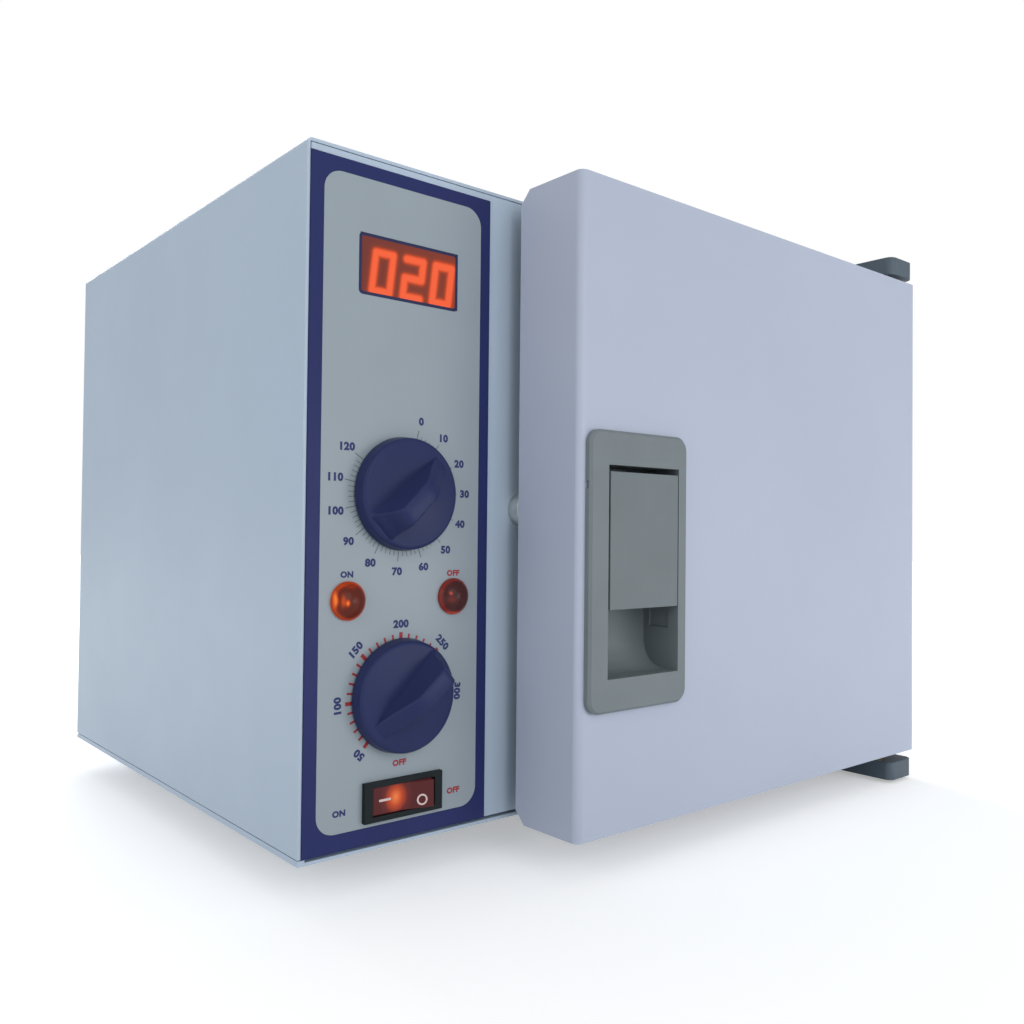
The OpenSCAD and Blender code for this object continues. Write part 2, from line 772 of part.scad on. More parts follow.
// Knob in its own frame: its back at y = 0, its grip pointing to +Z
module knob() difference() {
    union() {
        rotate([90, 0, 0]) rotate_extrude()
            polygon([[0, 0], [knob_d / 2 - 0.4, 0], [knob_d / 2, 0.4], [knob_d / 2 - 0.6, skirt_t - 1.4],
                     [knob_d / 2 - 1, skirt_t - 0.5], [knob_d / 2 - 1.9, skirt_t], [0, skirt_t]]);
        intersection() {
            hull() {
                along_y(-skirt_t, -skirt_t + eps)
                    polygon([[-grip_wide, knob_d / 2], [-grip_thin, -knob_d / 2],
                             [grip_thin, -knob_d / 2], [grip_wide, knob_d / 2]]);
                along_y(-skirt_t - grip_h, -skirt_t - grip_h + eps)
                    polygon([[-grip_top, knob_d / 2], [-grip_tip, -knob_d / 2],
                             [grip_tip, -knob_d / 2], [grip_top, knob_d / 2]]);
            }
            along_x(-knob_d, knob_d)
                polygon([[-skirt_t + 1, -knob_d / 2 + 3.5], [-skirt_t, -knob_d / 2 + 3.5],
                         [-skirt_t - grip_h + 0.6, -2.6], [-skirt_t - grip_h, -0.5],
                         [-skirt_t - grip_h, knob_d / 2 - 8.4], [-skirt_t - grip_h + 0.5, knob_d / 2 - 7.4],
                         [-skirt_t, knob_d / 2 - 1.9], [-skirt_t + 1, knob_d / 2 - 1.9]]);
            rotate([90, 0, 0]) cylinder(h = skirt_t + grip_h + 1, r = knob_d / 2 - 1.7, $fn = 96);
        }
    }
    rotate([90, 0, 0]) translate([0, 0, -1]) cylinder(h = knob_bore + 1 + fit_press, r = shaft_d / 2 + fit_press);
}

module knob_at(z, points) translate([dial_x, -overlay_t - knob_gap, z]) rotate([0, points, 0]) knob();

module timer_knob() color(navy) place() knob_at(timer_z, timer_points);

module thermostat_knob() color(navy) place() knob_at(thermo_z, thermo_points);

module timer_shaft() color("silver") place() control_shaft(timer_z);

module thermostat_shaft() color("silver") place() control_shaft(thermo_z);

// Sensor tube of the thermostat: a bulb in the chamber and a thin tube to the control
capillary_d = 2;
capillary_in = 37.2;
capillary_down = 14;
capillary_y = chamber_back - capillary_in;
capillary_z = mouth_t - capillary_down;
bulb_d = 6;
bulb_side = 9;
bulb_x = mouth_l + bulb_side;
bulb_l = 80;
bulb_lead = 16;
clip_w = 6;
clip_in = 12;
clip_drop = 4;
clip_t = 1;
probe_d = 5;
probe_reach = 28;
probe_rear = 95.2;
probe_y = chamber_back - probe_rear;
probe_z = mouth_t - 24;
probe_tail = 10;
probe_nut_r = 5;
probe_nut_t = 1.6;

module thermostat_capillary() color("peru") place() {
    turn_x = part_x - 8;
    thermo_back = sheet_t + thermo_depth;
    stand_off = thermo_back + 14;
    entry_z = thermo_z + 12;
    bulb_back = capillary_y - bulb_lead;
    rod_y(bulb_x, capillary_z, bulb_back - bulb_l, bulb_back, bulb_d / 2);
    tube_path([[bulb_x, bulb_back - eps, capillary_z], [bulb_x, capillary_y, capillary_z],
               [turn_x, capillary_y, capillary_z], [turn_x, capillary_y, entry_z],
               [turn_x, stand_off, entry_z], [dial_x, stand_off, entry_z],
               [dial_x, thermo_back, entry_z]], capillary_d / 2);
}

module bulb_clips() color("silver") place() {
    bulb_back = capillary_y - bulb_lead;
    clip_z = capillary_z - clip_drop;
    arm_x = bulb_x - bulb_d / 2;
    for (y = [bulb_back - bulb_l + clip_in, bulb_back - clip_in - clip_w]) {
        difference() {
            rod_y(bulb_x, capillary_z, y, y + clip_w, bulb_d / 2 + clip_t);
            rod_y(bulb_x, capillary_z, y - 1, y + clip_w + 1, bulb_d / 2 + fit_press);
            block([bulb_x - 1, y - 1, capillary_z - 9], [bulb_x + 1, y + clip_w + 1, capillary_z]);
        }
        block([mouth_l, y, clip_z], [arm_x - 0.4, y + clip_w, clip_z + clip_t]);
        block([mouth_l, y, clip_z], [mouth_l + clip_t, y + clip_w, capillary_z + clip_drop]);
        block([arm_x - 1.2, y, clip_z], [arm_x - 0.2, y + clip_w, capillary_z]);
    }
}

module display_probe() color("silver") place() {
    rod_x(probe_y, probe_z, part_x - probe_tail, mouth_l + probe_reach, probe_d / 2);
    rod_x(probe_y, probe_z, mouth_l, mouth_l + probe_nut_t, probe_nut_r);
    rod_x(probe_y, probe_z, part_x - probe_nut_t, part_x, probe_nut_r);
}

cutout_y = 60;
cutout_z = mouth_b + 100;
cutout_r = 8;
cutout_deep = 9;
cutout_strap = 12;
cutout_strap_h = 5;

module thermal_cutout() color("linen") place() {
    wall_x = mouth_l - liner_t;
    rod_x(cutout_y, cutout_z, wall_x - cutout_deep, wall_x - 1, cutout_r);
    block([wall_x - 1, cutout_y - cutout_strap, cutout_z - cutout_strap_h],
          [wall_x, cutout_y + cutout_strap, cutout_z + cutout_strap_h]);
}

lens_steps = 8;

// Turned lens: a dome, a rim on the overlay and a stem through the panel
module lamp_lens(s) {
    ball = (lamp_d * lamp_d / 4 + lamp_h * lamp_h) / (2 * lamp_h);
    open = asin(lamp_d / 2 / ball);
    dome = [for (i = [0 : lens_steps]) let (a = open * (1 - i / lens_steps))
        [ball * sin(a), 1 + lamp_h - ball + ball * cos(a)]];
    translate([dial_x + s * lamp_side, -overlay_t, lamp_z]) rotate([90, 0, 0]) rotate_extrude()
        polygon(concat([[0, -overlay_t - sheet_t], [lamp_hole_r - 0.1, -overlay_t - sheet_t],
                        [lamp_hole_r - 0.1, 0], [lamp_d / 2, 0]], dome));
}

module lamp_lens_left() color("orange") place() lamp_lens(-1);

module lamp_lens_right() color("darkred") place() lamp_lens(1);

lamp_nut_r = 6;
lamp_nut_t = 3;
lamp_tube_r = 4;
lamp_deep = 22;
tag_l = 8;
tag_half_t = 0.4;
tag_half_w = 1.4;

module lamp_bodies() color(black) place()
    for (s = [-1, 1]) {
        x = dial_x + s * lamp_side;
        rod_y(x, lamp_z, sheet_t, sheet_t + lamp_nut_t, lamp_nut_r);
        rod_y(x, lamp_z, sheet_t + lamp_nut_t, sheet_t + lamp_deep, lamp_tube_r);
        for (t = [-2, 2])
            block([x + t - tag_half_t, sheet_t + lamp_deep, lamp_z - tag_half_w],
                  [x + t + tag_half_t, sheet_t + lamp_deep + tag_l, lamp_z + tag_half_w]);
    }

window_lip = 1.6;

module display_window() color([0.45, 0.08, 0.05, 0.8]) place() {
    block([display_x - display_w / 2, -overlay_t, display_z - display_h / 2],
          [display_x + display_w / 2, 0, display_z + display_h / 2]);
    block([display_x - display_w / 2 + window_lip, -eps, display_z - display_h / 2 + window_lip],
          [display_x + display_w / 2 - window_lip, sheet_t + 0.6, display_z + display_h / 2 - window_lip]);
}

module_t = 7;
module_y = sheet_t + 0.9;
digit_pitch = 12.6;
digit_half_w = 6.2;
digit_half_h = 9.4;
board_t = 1.6;
board_y = module_y + module_t;
board_rear = board_y + board_t;
board_half_w = 32;
board_half_h = 22;
post_r = 2.8;
post_bore = 1.5;
post_places = [for (x = [4 - board_half_w, board_half_w - 4], z = [4 - board_half_h, board_half_h - 4])
    [display_x + x, display_z + z]];
plug_x = display_x - 17;
plug_z = display_z - 13;
board_plug_w = 14;
board_plug_h = 10;
chip_w = 20;
chip_h = 8;
chip_t = 3.4;

module display_module() color(black) place()
    for (i = [-1, 0, 1])
        block([display_x + i * digit_pitch - digit_half_w, module_y, display_z - digit_half_h],
              [display_x + i * digit_pitch + digit_half_w, board_y, display_z + digit_half_h]);

module display_board() color("darkgreen") place() {
    difference() {
        block([display_x - board_half_w, board_y, display_z - board_half_h],
              [display_x + board_half_w, board_rear, display_z + board_half_h]);
        for (p = post_places) rod_y(p[0], p[1], board_y - 1, board_y + 3, post_bore);
    }
    for (p = post_places) difference() {
        rod_y(p[0], p[1], sheet_t, board_y, post_r);
        rod_y(p[0], p[1], sheet_t + 2, board_y + 1, post_bore);
    }
    block([plug_x - board_plug_w / 2, board_rear, plug_z - board_plug_h / 2],
          [plug_x + board_plug_w / 2, board_rear + board_plug_h, plug_z + board_plug_h / 2]);
    translate([display_x - 4, board_rear, display_z - chip_h / 2]) cube([chip_w, chip_t, chip_h]);
}

rocker_deep = 20;
rocker_hollow = 12;
rocker_tag_step = 8;
rocker_tag_w = 2.4;

// The switch's frame and case, with a deep slot that the rocker tilts in
module rocker_housing() color(black) place() difference() {
    union() {
        block([rocker_x - rocker_w / 2, -overlay_t - rocker_out, rocker_z - rocker_h / 2],
              [rocker_x + rocker_w / 2, -overlay_t, rocker_z + rocker_h / 2]);
        block([rocker_x - rocker_body_w / 2, -overlay_t - eps, rocker_z - rocker_body_h / 2],
              [rocker_x + rocker_body_w / 2, rocker_deep, rocker_z + rocker_body_h / 2]);
        for (i = [-1, 0, 1])
            block([rocker_x + i * rocker_tag_step - tag_half_t, rocker_deep - eps, rocker_z - rocker_tag_w],
                  [rocker_x + i * rocker_tag_step + tag_half_t, rocker_deep + tag_l, rocker_z + rocker_tag_w]);
    }
    block([rocker_x - rocker_open_w / 2, -overlay_t - rocker_out - 1, rocker_z - rocker_open_h / 2],
          [rocker_x + rocker_open_w / 2, rocker_hollow, rocker_z + rocker_open_h / 2]);
    rod_z(rocker_x, rocker_pivot_y, rocker_z - rocker_open_h / 2 - 0.8, rocker_z + rocker_open_h / 2 + 0.8,
          rocker_pin_r + fit_run);
}

rocker_pin_r = 1.3;
rocker_half = rocker_open_w / 2 - 1;
rocker_z_gap = 0.3;

// The rocker at rest is pressed at its left end, which is on
module rocker_button() color("firebrick") place()
    translate([rocker_x, rocker_pivot_y, rocker_z]) rotate([0, 0, -rocker_tilt]) {
        translate([0, 0, -rocker_open_h / 2 + rocker_z_gap]) linear_extrude(rocker_open_h - 2 * rocker_z_gap)
            polygon([[-rocker_half, -5.3], [-rocker_half + 0.5, -5.8], [0, -4.2], [rocker_half - 0.5, -5.8],
                     [rocker_half, -5.3], [rocker_half, -1], [5, 4], [-5, 4], [-rocker_half, -1]]);
        translate([0, 0, -rocker_open_h / 2 - 0.6]) cylinder(h = rocker_open_h + 1.2, r = rocker_pin_r);
    }

/* Rear fittings */

inlet_flange_w = 48;
inlet_flange_h = 22.5;
inlet_proud = 3;
inlet_hollow_w = 24.5;
inlet_hollow_h = 16.5;
inlet_hollow_d = 17;
inlet_deep = 18;
inlet_corner = 3;
blade_half_w = 2;
blade_half_t = 1;
blade_back = 26;
blade_gap = 0.1;

module inlet_socket() color(black) place() difference() {
    union() {
        along_y(body_d, body_d + inlet_proud)
            round_rect(inlet_x - inlet_flange_w / 2, inlet_z - inlet_flange_h / 2,
                       inlet_x + inlet_flange_w / 2, inlet_z + inlet_flange_h / 2, inlet_corner);
        block([inlet_x - inlet_hole_w / 2 + cut_gap, body_d - inlet_deep, inlet_z - inlet_hole_h / 2 + cut_gap],
              [inlet_x + inlet_hole_w / 2 - cut_gap, body_d + eps, inlet_z + inlet_hole_h / 2 - cut_gap]);
    }
    block([inlet_x - inlet_hollow_w / 2, body_d + inlet_proud - inlet_hollow_d, inlet_z - inlet_hollow_h / 2],
          [inlet_x + inlet_hollow_w / 2, body_d + inlet_proud + 1, inlet_z + inlet_hollow_h / 2]);
    for (p = inlet_screw_places) rod_y(p[0], p[1], body_d - 1, body_d + inlet_proud + 1, back_screw_r + 0.1);
    for (p = inlet_pin_places)
        blade(p, body_d - inlet_deep - 2, body_d - 10, blade_gap);
}

inlet_pin_places = [[-7, -2], [0, 2], [7, -2]];

// Contact blade of the inlet from depth y0 to depth y1, grown by d
module blade(p, y0, y1, d)
    block([inlet_x + p[0] - blade_half_w - d, y0, inlet_z + p[1] - blade_half_t - d],
          [inlet_x + p[0] + blade_half_w + d, y1, inlet_z + p[1] + blade_half_t + d]);

module inlet_pins() color("gold") place()
    for (p = inlet_pin_places) blade(p, body_d - blade_back, body_d - 1, 0);

fuse_deep = 28;
fuse_collar_t = 2;
fuse_collar_r = fuse_r + 2.4;
fuse_nut_t = 4;

module fuse_holder() color(black) place() {
    rod_y(fuse_x, fuse_z, body_d - fuse_deep, body_d + eps, fuse_r);
    rod_y(fuse_x, fuse_z, body_d, body_d + fuse_collar_t, fuse_collar_r);
    rod_y(fuse_x, fuse_z, body_d + fuse_collar_t - eps, body_d + rear_out, fuse_r - 0.6);
    rod_y(fuse_x, fuse_z, body_d - sheet_t - fuse_nut_t, body_d - sheet_t, fuse_r + 2);
}

terminal_l = 16;
terminal_w = 42;
terminal_rt = terminal_l + terminal_w;
terminal_y = 150;
terminal_d = 20;
terminal_back = terminal_y + terminal_d;
terminal_h = 18;
terminal_ways = 4;
terminal_pitch = terminal_w / terminal_ways;
terminal_screw_r = 2.4;

module terminal_block() color("ivory") place() difference() {
    block([terminal_l, terminal_y, sheet_t], [terminal_rt, terminal_back, sheet_t + terminal_h]);
    for (i = [0 : terminal_ways - 1])
        rod_z(terminal_l + (i + 0.5) * terminal_pitch, terminal_y + terminal_d / 2,
              sheet_t + 8, sheet_t + terminal_h + 2, terminal_screw_r);
}

wire_r = 1.2;
wire_z = 12;
wire_step = 4;
wire_turn = 8;
loom_y = 46;
// Uprights of the loom: beside the left wall, beside the controls and beside the partition
loom_l = 12;
loom_rt = 66;
loom_end = 76;
lead_x = 50;
mains_y = body_d - 31;
fuse_lead_y = body_d - 46;

// Eight-sided wire along a list of points, each stretch running on past its corner by the wire's radius
module wire_path(points, r) {
    last = len(points) - 2;
    for (i = [0 : last]) {
        a = points[i];
        b = points[i + 1];
        u = (b - a) / norm(b - a);
        wire_piece(i > 0 ? a - u * r : a, i < last ? b + u * r : b, r);
    }
}

module wire_piece(a, b, r) {
    d = b - a;
    translate(a)
        rotate([0, acos(d[2] / norm(d)), atan2(d[1], d[0])])
            cylinder(h = norm(d), r = r, $fn = 8);
}

// Mains leads run from the rear to the block, control leads from the block to the panel
module wiring() color("darkslategray") place() {
    heater_l = door_mid_x - heater_span / 2;
    heater_rt = door_mid_x + heater_span / 2;
    heater_z = mouth_b + heater_up;
    run_y = back_in - 5;
    run_y2 = run_y - wire_step;
    run_z = lead_z - 2;
    run_z2 = lead_z + 2;
    switch_x = rocker_x - rocker_tag_step;
    switch_back = rocker_deep + tag_l;
    lamp_l = dial_x - lamp_side;
    lamp_rt = dial_x + lamp_side;
    lamp_back = sheet_t + lamp_deep;
    thermo_back = sheet_t + thermo_depth;
    timer_back = sheet_t + timer_depth;
    loom_y2 = loom_y + wire_step;
    inlet_back = body_d - blade_back;
    inlet_lead_z = inlet_z - 2;
    way_l = terminal_l + 6;
    way_rt = terminal_rt - 3;
    turn_y = terminal_y - wire_turn;
    block_back = terminal_back - 7;
    wire_path([[inlet_x, inlet_back, inlet_lead_z], [inlet_x, mains_y, inlet_lead_z], [inlet_x, mains_y, wire_z],
               [inlet_x, terminal_back, wire_z]], wire_r * 2);
    wire_path([[fuse_x, body_d - fuse_deep, fuse_z], [fuse_x, fuse_lead_y, fuse_z], [lead_x, fuse_lead_y, wire_z],
               [lead_x, terminal_back, wire_z]], wire_r);
    wire_path([[switch_x, terminal_y, wire_z], [switch_x, switch_back + 6, wire_z],
               [switch_x, switch_back + 6, rocker_z], [switch_x, switch_back, rocker_z]], wire_r);
    wire_path([[dial_x, terminal_y, wire_z], [dial_x, loom_y, wire_z], [dial_x, loom_y, thermo_z],
               [dial_x, thermo_back, thermo_z]], wire_r);
    wire_path([[lead_x, terminal_y, wire_z], [lead_x, loom_y2, wire_z], [lead_x, loom_y2, timer_z],
               [lead_x, timer_back, timer_z]], wire_r);
    wire_path([[way_l, terminal_y, wire_z], [way_l, turn_y, wire_z], [loom_l, turn_y - 10, wire_z],
               [loom_l, loom_y, wire_z], [loom_l, loom_y, lamp_z], [lamp_l, loom_y, lamp_z],
               [lamp_l, lamp_back, lamp_z]], wire_r);
    wire_path([[way_rt, terminal_y, wire_z], [way_rt, turn_y, wire_z], [loom_rt, turn_y - 10, wire_z],
               [loom_rt, loom_y, wire_z], [loom_rt, loom_y, lamp_z], [lamp_rt, loom_y, lamp_z],
               [lamp_rt, lamp_back, lamp_z]], wire_r);
    wire_path([[terminal_rt, terminal_y + 6, wire_z], [terminal_rt + 12, terminal_y + 6, wire_z],
               [loom_end, terminal_y - wire_step, wire_z], [loom_end, loom_y2, wire_z], [loom_end, loom_y2, plug_z],
               [plug_x, loom_y2, plug_z], [plug_x, board_rear + board_plug_h, plug_z]], wire_r);
    wire_path([[terminal_rt, block_back, wire_z], [terminal_rt + 6, block_back, wire_z],
               [loom_rt, terminal_back + 20, wire_z], [loom_rt, run_y2, run_z], [heater_l, run_y2, run_z],
               [heater_l, run_y2, heater_z], [heater_l, heater_end, heater_z]], wire_r);
    wire_path([[way_rt, terminal_back, wire_z], [way_rt, terminal_back + wire_turn, wire_z],
               [loom_rt - 6, terminal_back + 30, wire_z], [loom_rt - 6, run_y, run_z2], [heater_rt, run_y, run_z2],
               [heater_rt, run_y, heater_z], [heater_rt, heater_end, heater_z]], wire_r);
}

back_screw_l = 7;
back_screw_head_t = 2;
inlet_screw_l = 9;
inlet_screw_head_r = 3;
inlet_screw_head_t = 1.6;

module back_screws() color("silver") place() {
    for (p = back_screw_places)
        screw_back(p[0], p[1], body_d, back_screw_l, back_screw_head_r, back_screw_head_t, back_screw_r);
    for (p = inlet_screw_places)
        screw_back(p[0], p[1], body_d + inlet_proud, inlet_screw_l, inlet_screw_head_r,
                   inlet_screw_head_t, back_screw_r);
}

/* Feet and hinges */

module feet() color(black) place()
    for (p = foot_places) translate([p[0], p[1], -foot_h]) difference() {
        rotate_extrude()
            polygon([[0, 0], [foot_d / 2 - 2.5, 0], [foot_d / 2 - 1.5, 1], [foot_d / 2, foot_h], [0, foot_h]]);
        translate([0, 0, -1]) cylinder(h = foot_bore_h + 1, r = foot_bore_r);
        translate([0, 0, 2]) cylinder(h = foot_h, r = foot_hole_r);
    }

foot_bore_h = 6;
foot_bore_r = 5.4;
foot_head_t = 2.6;
foot_head_r = 4;
foot_nut_t = 3;
foot_nut_r = 3.6;

module foot_screws() color("silver") place()
    for (p = foot_places) {
        rod_z(p[0], p[1], -foot_h + foot_bore_h - foot_head_t, -foot_h + foot_bore_h, foot_head_r);
        rod_z(p[0], p[1], -foot_h + foot_bore_h - eps, sheet_t + 5, foot_hole_r - 0.1);
        rod_z(p[0], p[1], sheet_t, sheet_t + foot_nut_t, foot_nut_r);
    }

// Hinge bracket: side +1 lies on the top of the body, side -1 under it
module hinge_bracket(side) {
    face = side > 0 ? body_h : 0;
    gap = side > 0 ? top_gap : bottom_gap;
    reach = gap + bracket_t;
    x0 = bracket_x - bracket_w / 2;
    x1 = bracket_x + bracket_w / 2;
    difference() {
        translate([0, 0, face]) scale_z(side) union() {
            block([x0, bracket_front + bracket_r, gap], [x1, 4, reach]);
            block([x0 + bracket_r, bracket_front, gap], [x1 - bracket_r, bracket_front + bracket_r + 1, reach]);
            for (x = [x0 + bracket_r, x1 - bracket_r]) rod_z(x, bracket_front + bracket_r, gap, reach, bracket_r);
            block([x0, 1.5, 0], [x1, bracket_back, reach]);
        }
        translate([0, 0, face]) scale_z(side) {
            rod_z(pin_x, pin_y, gap - 1, reach + 1, pin_d / 2 + fit_press);
            for (y = bracket_screw_y) {
                rod_z(bracket_x, y, -1, reach + 1, bracket_screw_r + 0.1);
                rod_z(bracket_x, y, reach - bracket_sink, reach + 1, bracket_head_r + 0.4);
            }
        }
    }
}

// Turns what grows upwards into what grows downwards where side is -1
module scale_z(side) {
    if (side > 0) children();
    else mirror([0, 0, 1]) children();
}

module hinge_bracket_top() color(dark_steel) place() hinge_bracket(1);

module hinge_bracket_bottom() color(dark_steel) place() hinge_bracket(-1);

module bracket_screws() color("dimgray") place()
    for (side = [1, -1], y = bracket_screw_y)
        translate([0, 0, side > 0 ? body_h : 0]) scale_z(side) {
            reach = (side > 0 ? top_gap : bottom_gap) + bracket_t;
            under = reach - bracket_sink;
            rod_z(bracket_x, y, under, under + bracket_head_t, bracket_head_r);
            rod_z(bracket_x, y, -sheet_t - bracket_nut_t - 1, under + eps, bracket_screw_r);
            rod_z(bracket_x, y, -sheet_t - bracket_nut_t, -sheet_t, bracket_nut_r);
        }

module hinge_pins() color("silver") place()
    for (side = [1, -1])
        translate([0, 0, side > 0 ? body_h : 0]) scale_z(side) {
            reach = (side > 0 ? top_gap : bottom_gap) + bracket_t;
            rod_z(pin_x, pin_y, -pin_deep, reach, pin_d / 2);
        }

module striker() color("gray") place() {
    rod_y(striker_x, striker_z, -striker_collar, 0, striker_d / 2);
    rod_y(striker_x, striker_z, striker_head_y, -striker_collar + eps, striker_neck / 2);
    rod_y(striker_x, striker_z, striker_head_y - striker_head_t, striker_head_y + eps, striker_head / 2);
    rod_y(striker_x, striker_z, -eps, sheet_t + 6, striker_neck / 2);
    rod_y(striker_x, striker_z, sheet_t, sheet_t + 3, striker_neck / 2 + 2);
}

/* Door */

// Door outline seen from above, drawn inwards by d
module door_plan(d) {
    r = door_r - d / 2;
    x0 = door_left + d;
    x1 = body_w - d;
    y0 = door_front + d;
    translate([x0, y0 + r]) square([x1 - x0, door_rear - y0 - r + (d > 0 ? 1 : 0)]);
    translate([x0 + r, y0]) square([x1 - x0 - 2 * r, r + 1]);
    for (x = [x0 + r, x1 - r]) translate([x, y0 + r]) circle(r);
}

bezel_hole_in = 2.2;

// Prisms that cut the door's rear top and bottom edges, moved inwards by d
module door_clips(d) along_x(door_left - 1, body_w + 1)
    for (z = [0, body_h])
        translate([door_rear, z]) rotate(45)
            square((door_clip + d * sqrt(2)) * sqrt(2), center = true);

door_in_l = door_left + door_sheet + 0.2;
door_in_r = body_w - door_sheet - 0.2;
door_in_b = door_clip + door_sheet * sqrt(2) + panel_t + 0.4;
door_in_t = body_h - door_in_b;
ledge_w = 13;
notch_r = striker_x + striker_head / 2 + 1.6;
notch_h = 7;
door_screw_r = 1.6;
door_screw_in = 4.4;
door_screw_places = [
    for (x = [door_in_l + 28, door_mid_x, door_in_r - 28],
         z = [door_in_b + door_screw_in, door_in_t - door_screw_in]) [x, z],
    [door_in_r - 7, body_h / 2]
];
plug_l = mouth_l + plug_in;
plug_rt = mouth_r - plug_in;
plug_b = mouth_b + plug_in;
plug_top = mouth_t - plug_in;
plug_r = 8;

// Way for the striker into the door
module striker_notch() block([door_left + door_sheet + eps, door_rear - 8, striker_z - notch_h],
                             [notch_r, door_rear + 1, striker_z + notch_h]);

module door_outer() color(painted) place() difference() {
    union() {
        difference() {
            linear_extrude(body_h) door_plan(0);
            difference() {
                translate([0, 0, door_sheet]) linear_extrude(body_h - 2 * door_sheet) door_plan(door_sheet);
                door_clips(door_sheet);
            }
        }
        difference() {
            along_y(door_rear - panel_t - door_sheet, door_rear - panel_t) difference() {
                translate([door_in_l - 0.3, door_in_b - 0.6])
                    square([door_in_r - door_in_l + 0.6, door_in_t - door_in_b + 1.2]);
                translate([door_in_l + ledge_w, door_in_b + ledge_w])
                    square([door_in_r - door_in_l - 2 * ledge_w, door_in_t - door_in_b - 2 * ledge_w]);
            }
            striker_notch();
            for (p = door_screw_places)
                rod_y(p[0], p[1], door_rear - 5, door_rear + 1, door_screw_r + 0.1);
        }
    }
    door_clips(0);
    for (z = [0, body_h]) rod_z(pin_x, pin_y, z - 3, z + 3, bush_r + 0.1);
    along_y(door_front - 1, door_front + door_sheet + 1)
        round_rect(bezel_l + bezel_hole_in, bezel_b + bezel_hole_in, bezel_rt - bezel_hole_in,
                   bezel_t - bezel_hole_in, bezel_r - bezel_hole_in);
}

module door_inner_panel() color(steel) place() difference() {
    union() {
        along_y(door_rear - panel_t, door_rear)
            translate([door_in_l, door_in_b]) square([door_in_r - door_in_l, door_in_t - door_in_b]);
        along_y(door_rear - panel_t, door_rear + plug_t) round_rect(plug_l, plug_b, plug_rt, plug_top, plug_r);
    }
    along_y(door_rear - panel_t - 1, door_rear + plug_t - panel_t)
        round_rect(plug_l + panel_t, plug_b + panel_t, plug_rt - panel_t, plug_top - panel_t, plug_r - panel_t);
    striker_notch();
    for (p = door_screw_places)
        rod_y(p[0], p[1], door_rear - 5, door_rear + 1, door_screw_r + 0.1);
}

door_screw_l = 6;
door_screw_head_r = 3.2;
door_screw_head_t = 1.6;

module door_screws() color("silver") place()
    for (p = door_screw_places)
        screw_back(p[0], p[1], door_rear, door_screw_l, door_screw_head_r, door_screw_head_t, door_screw_r);

module door_insulation() color([0.85, 0.82, 0.68]) place() difference() {
    block([door_in_l + 3, door_front + door_sheet + slack, door_in_b + 1],
          [door_in_r - 3, door_rear - panel_t - 6 - slack, door_in_t - 1]);
    block([door_left, door_front, bezel_b - 2], [bezel_rt + 2, door_rear, bezel_t + 2]);
    for (z = [-1, body_h - pin_deep - 4]) block([pin_x - 8, pin_y - 8, z], [body_w, pin_y + 8, z + pin_deep + 5]);
}

module door_gasket() color("#c8c4bc") place() along_y(door_rear, door_rear + gasket_t) difference() {
    o = gasket_in + gasket_w;
    round_rect(mouth_l - o, mouth_b - o, mouth_r + o, mouth_t + o, liner_r + o);
    round_rect(mouth_l - gasket_in, mouth_b - gasket_in, mouth_r + gasket_in, mouth_t + gasket_in,
               liner_r + gasket_in);
}

// Bushes in the door's top and bottom walls, whose flanges meet the brackets
module door_bushes() color("goldenrod") place()
    for (side = [1, -1])
        translate([0, 0, side > 0 ? body_h : 0]) scale_z(side) difference() {
            gap = side > 0 ? top_gap : bottom_gap;
            union() {
                rod_z(pin_x, pin_y, -pin_deep - 1, eps, bush_r);
                rod_z(pin_x, pin_y, 0, gap - 0.1, bush_r + bush_flange);
                rod_z(pin_x, pin_y, -door_sheet - 2, -door_sheet, bush_r + bush_flange);
            }
            rod_z(pin_x, pin_y, -pin_deep - 2, gap + 1, pin_d / 2 + fit_run);
        }

/* Latch */

module pocket_outline(grow) {
    r = pocket_r + grow;
    y1 = pocket_back + grow;
    z0 = pocket_b - grow;
    translate([bezel_front - 1, z0]) square([y1 - r - bezel_front + 1, pocket_t + grow - z0]);
    translate([bezel_front - 1, z0 + r]) square([y1 - bezel_front + 1, pocket_t + grow - z0 - r]);
    translate([y1 - r, z0 + r]) circle(r);
}

// Recess in the pocket's right wall behind the paddle, and notch in the bezel's left side
recess_in = 0.9;
recess_y = [door_front + 2.2, door_front + 12.1];
recess_z = [latch_z - 49.2, latch_z - 22];
nick_in = 0.9;
nick_z = latch_z + 5.8;
nick_h = 2.6;

module latch_bezel() color(grey) place() difference() {
    union() {
        along_y(bezel_front + 1, door_front) round_rect(bezel_l, bezel_b, bezel_rt, bezel_t, bezel_r);
        hull() {
            along_y(bezel_front + 1, bezel_front + 1.1)
                round_rect(bezel_l, bezel_b, bezel_rt, bezel_t, bezel_r, $fn = 32);
            along_y(bezel_front, bezel_front + 0.1)
                round_rect(bezel_l + 1, bezel_b + 1, bezel_rt - 1, bezel_t - 1, bezel_r - 1, $fn = 32);
        }
        intersection() {
            along_x(pocket_l - pocket_wall, pocket_rt + pocket_wall) pocket_outline(pocket_wall);
            block([bezel_l, door_front - 1, bezel_b], [bezel_rt, door_rear, bezel_t]);
        }
    }
    along_x(pocket_l, pocket_rt) pocket_outline(0);
    block([pocket_rt - 1, recess_y[0], recess_z[0]], [pocket_rt + recess_in, recess_y[1], recess_z[1]]);
    block([bezel_l - 1, bezel_front + 1, nick_z - nick_h / 2],
          [bezel_l + nick_in, door_front + eps, nick_z + nick_h / 2]);
    rod_x(latch_y, latch_z, pocket_l - pocket_wall - 1, pocket_rt + pocket_wall + 1, latch_d / 2 + fit_run);
}

module latch_shaft() color("silver") place()
    rod_x(latch_y, latch_z, claw_x - 1, pocket_rt + pocket_wall + 1, latch_d / 2);

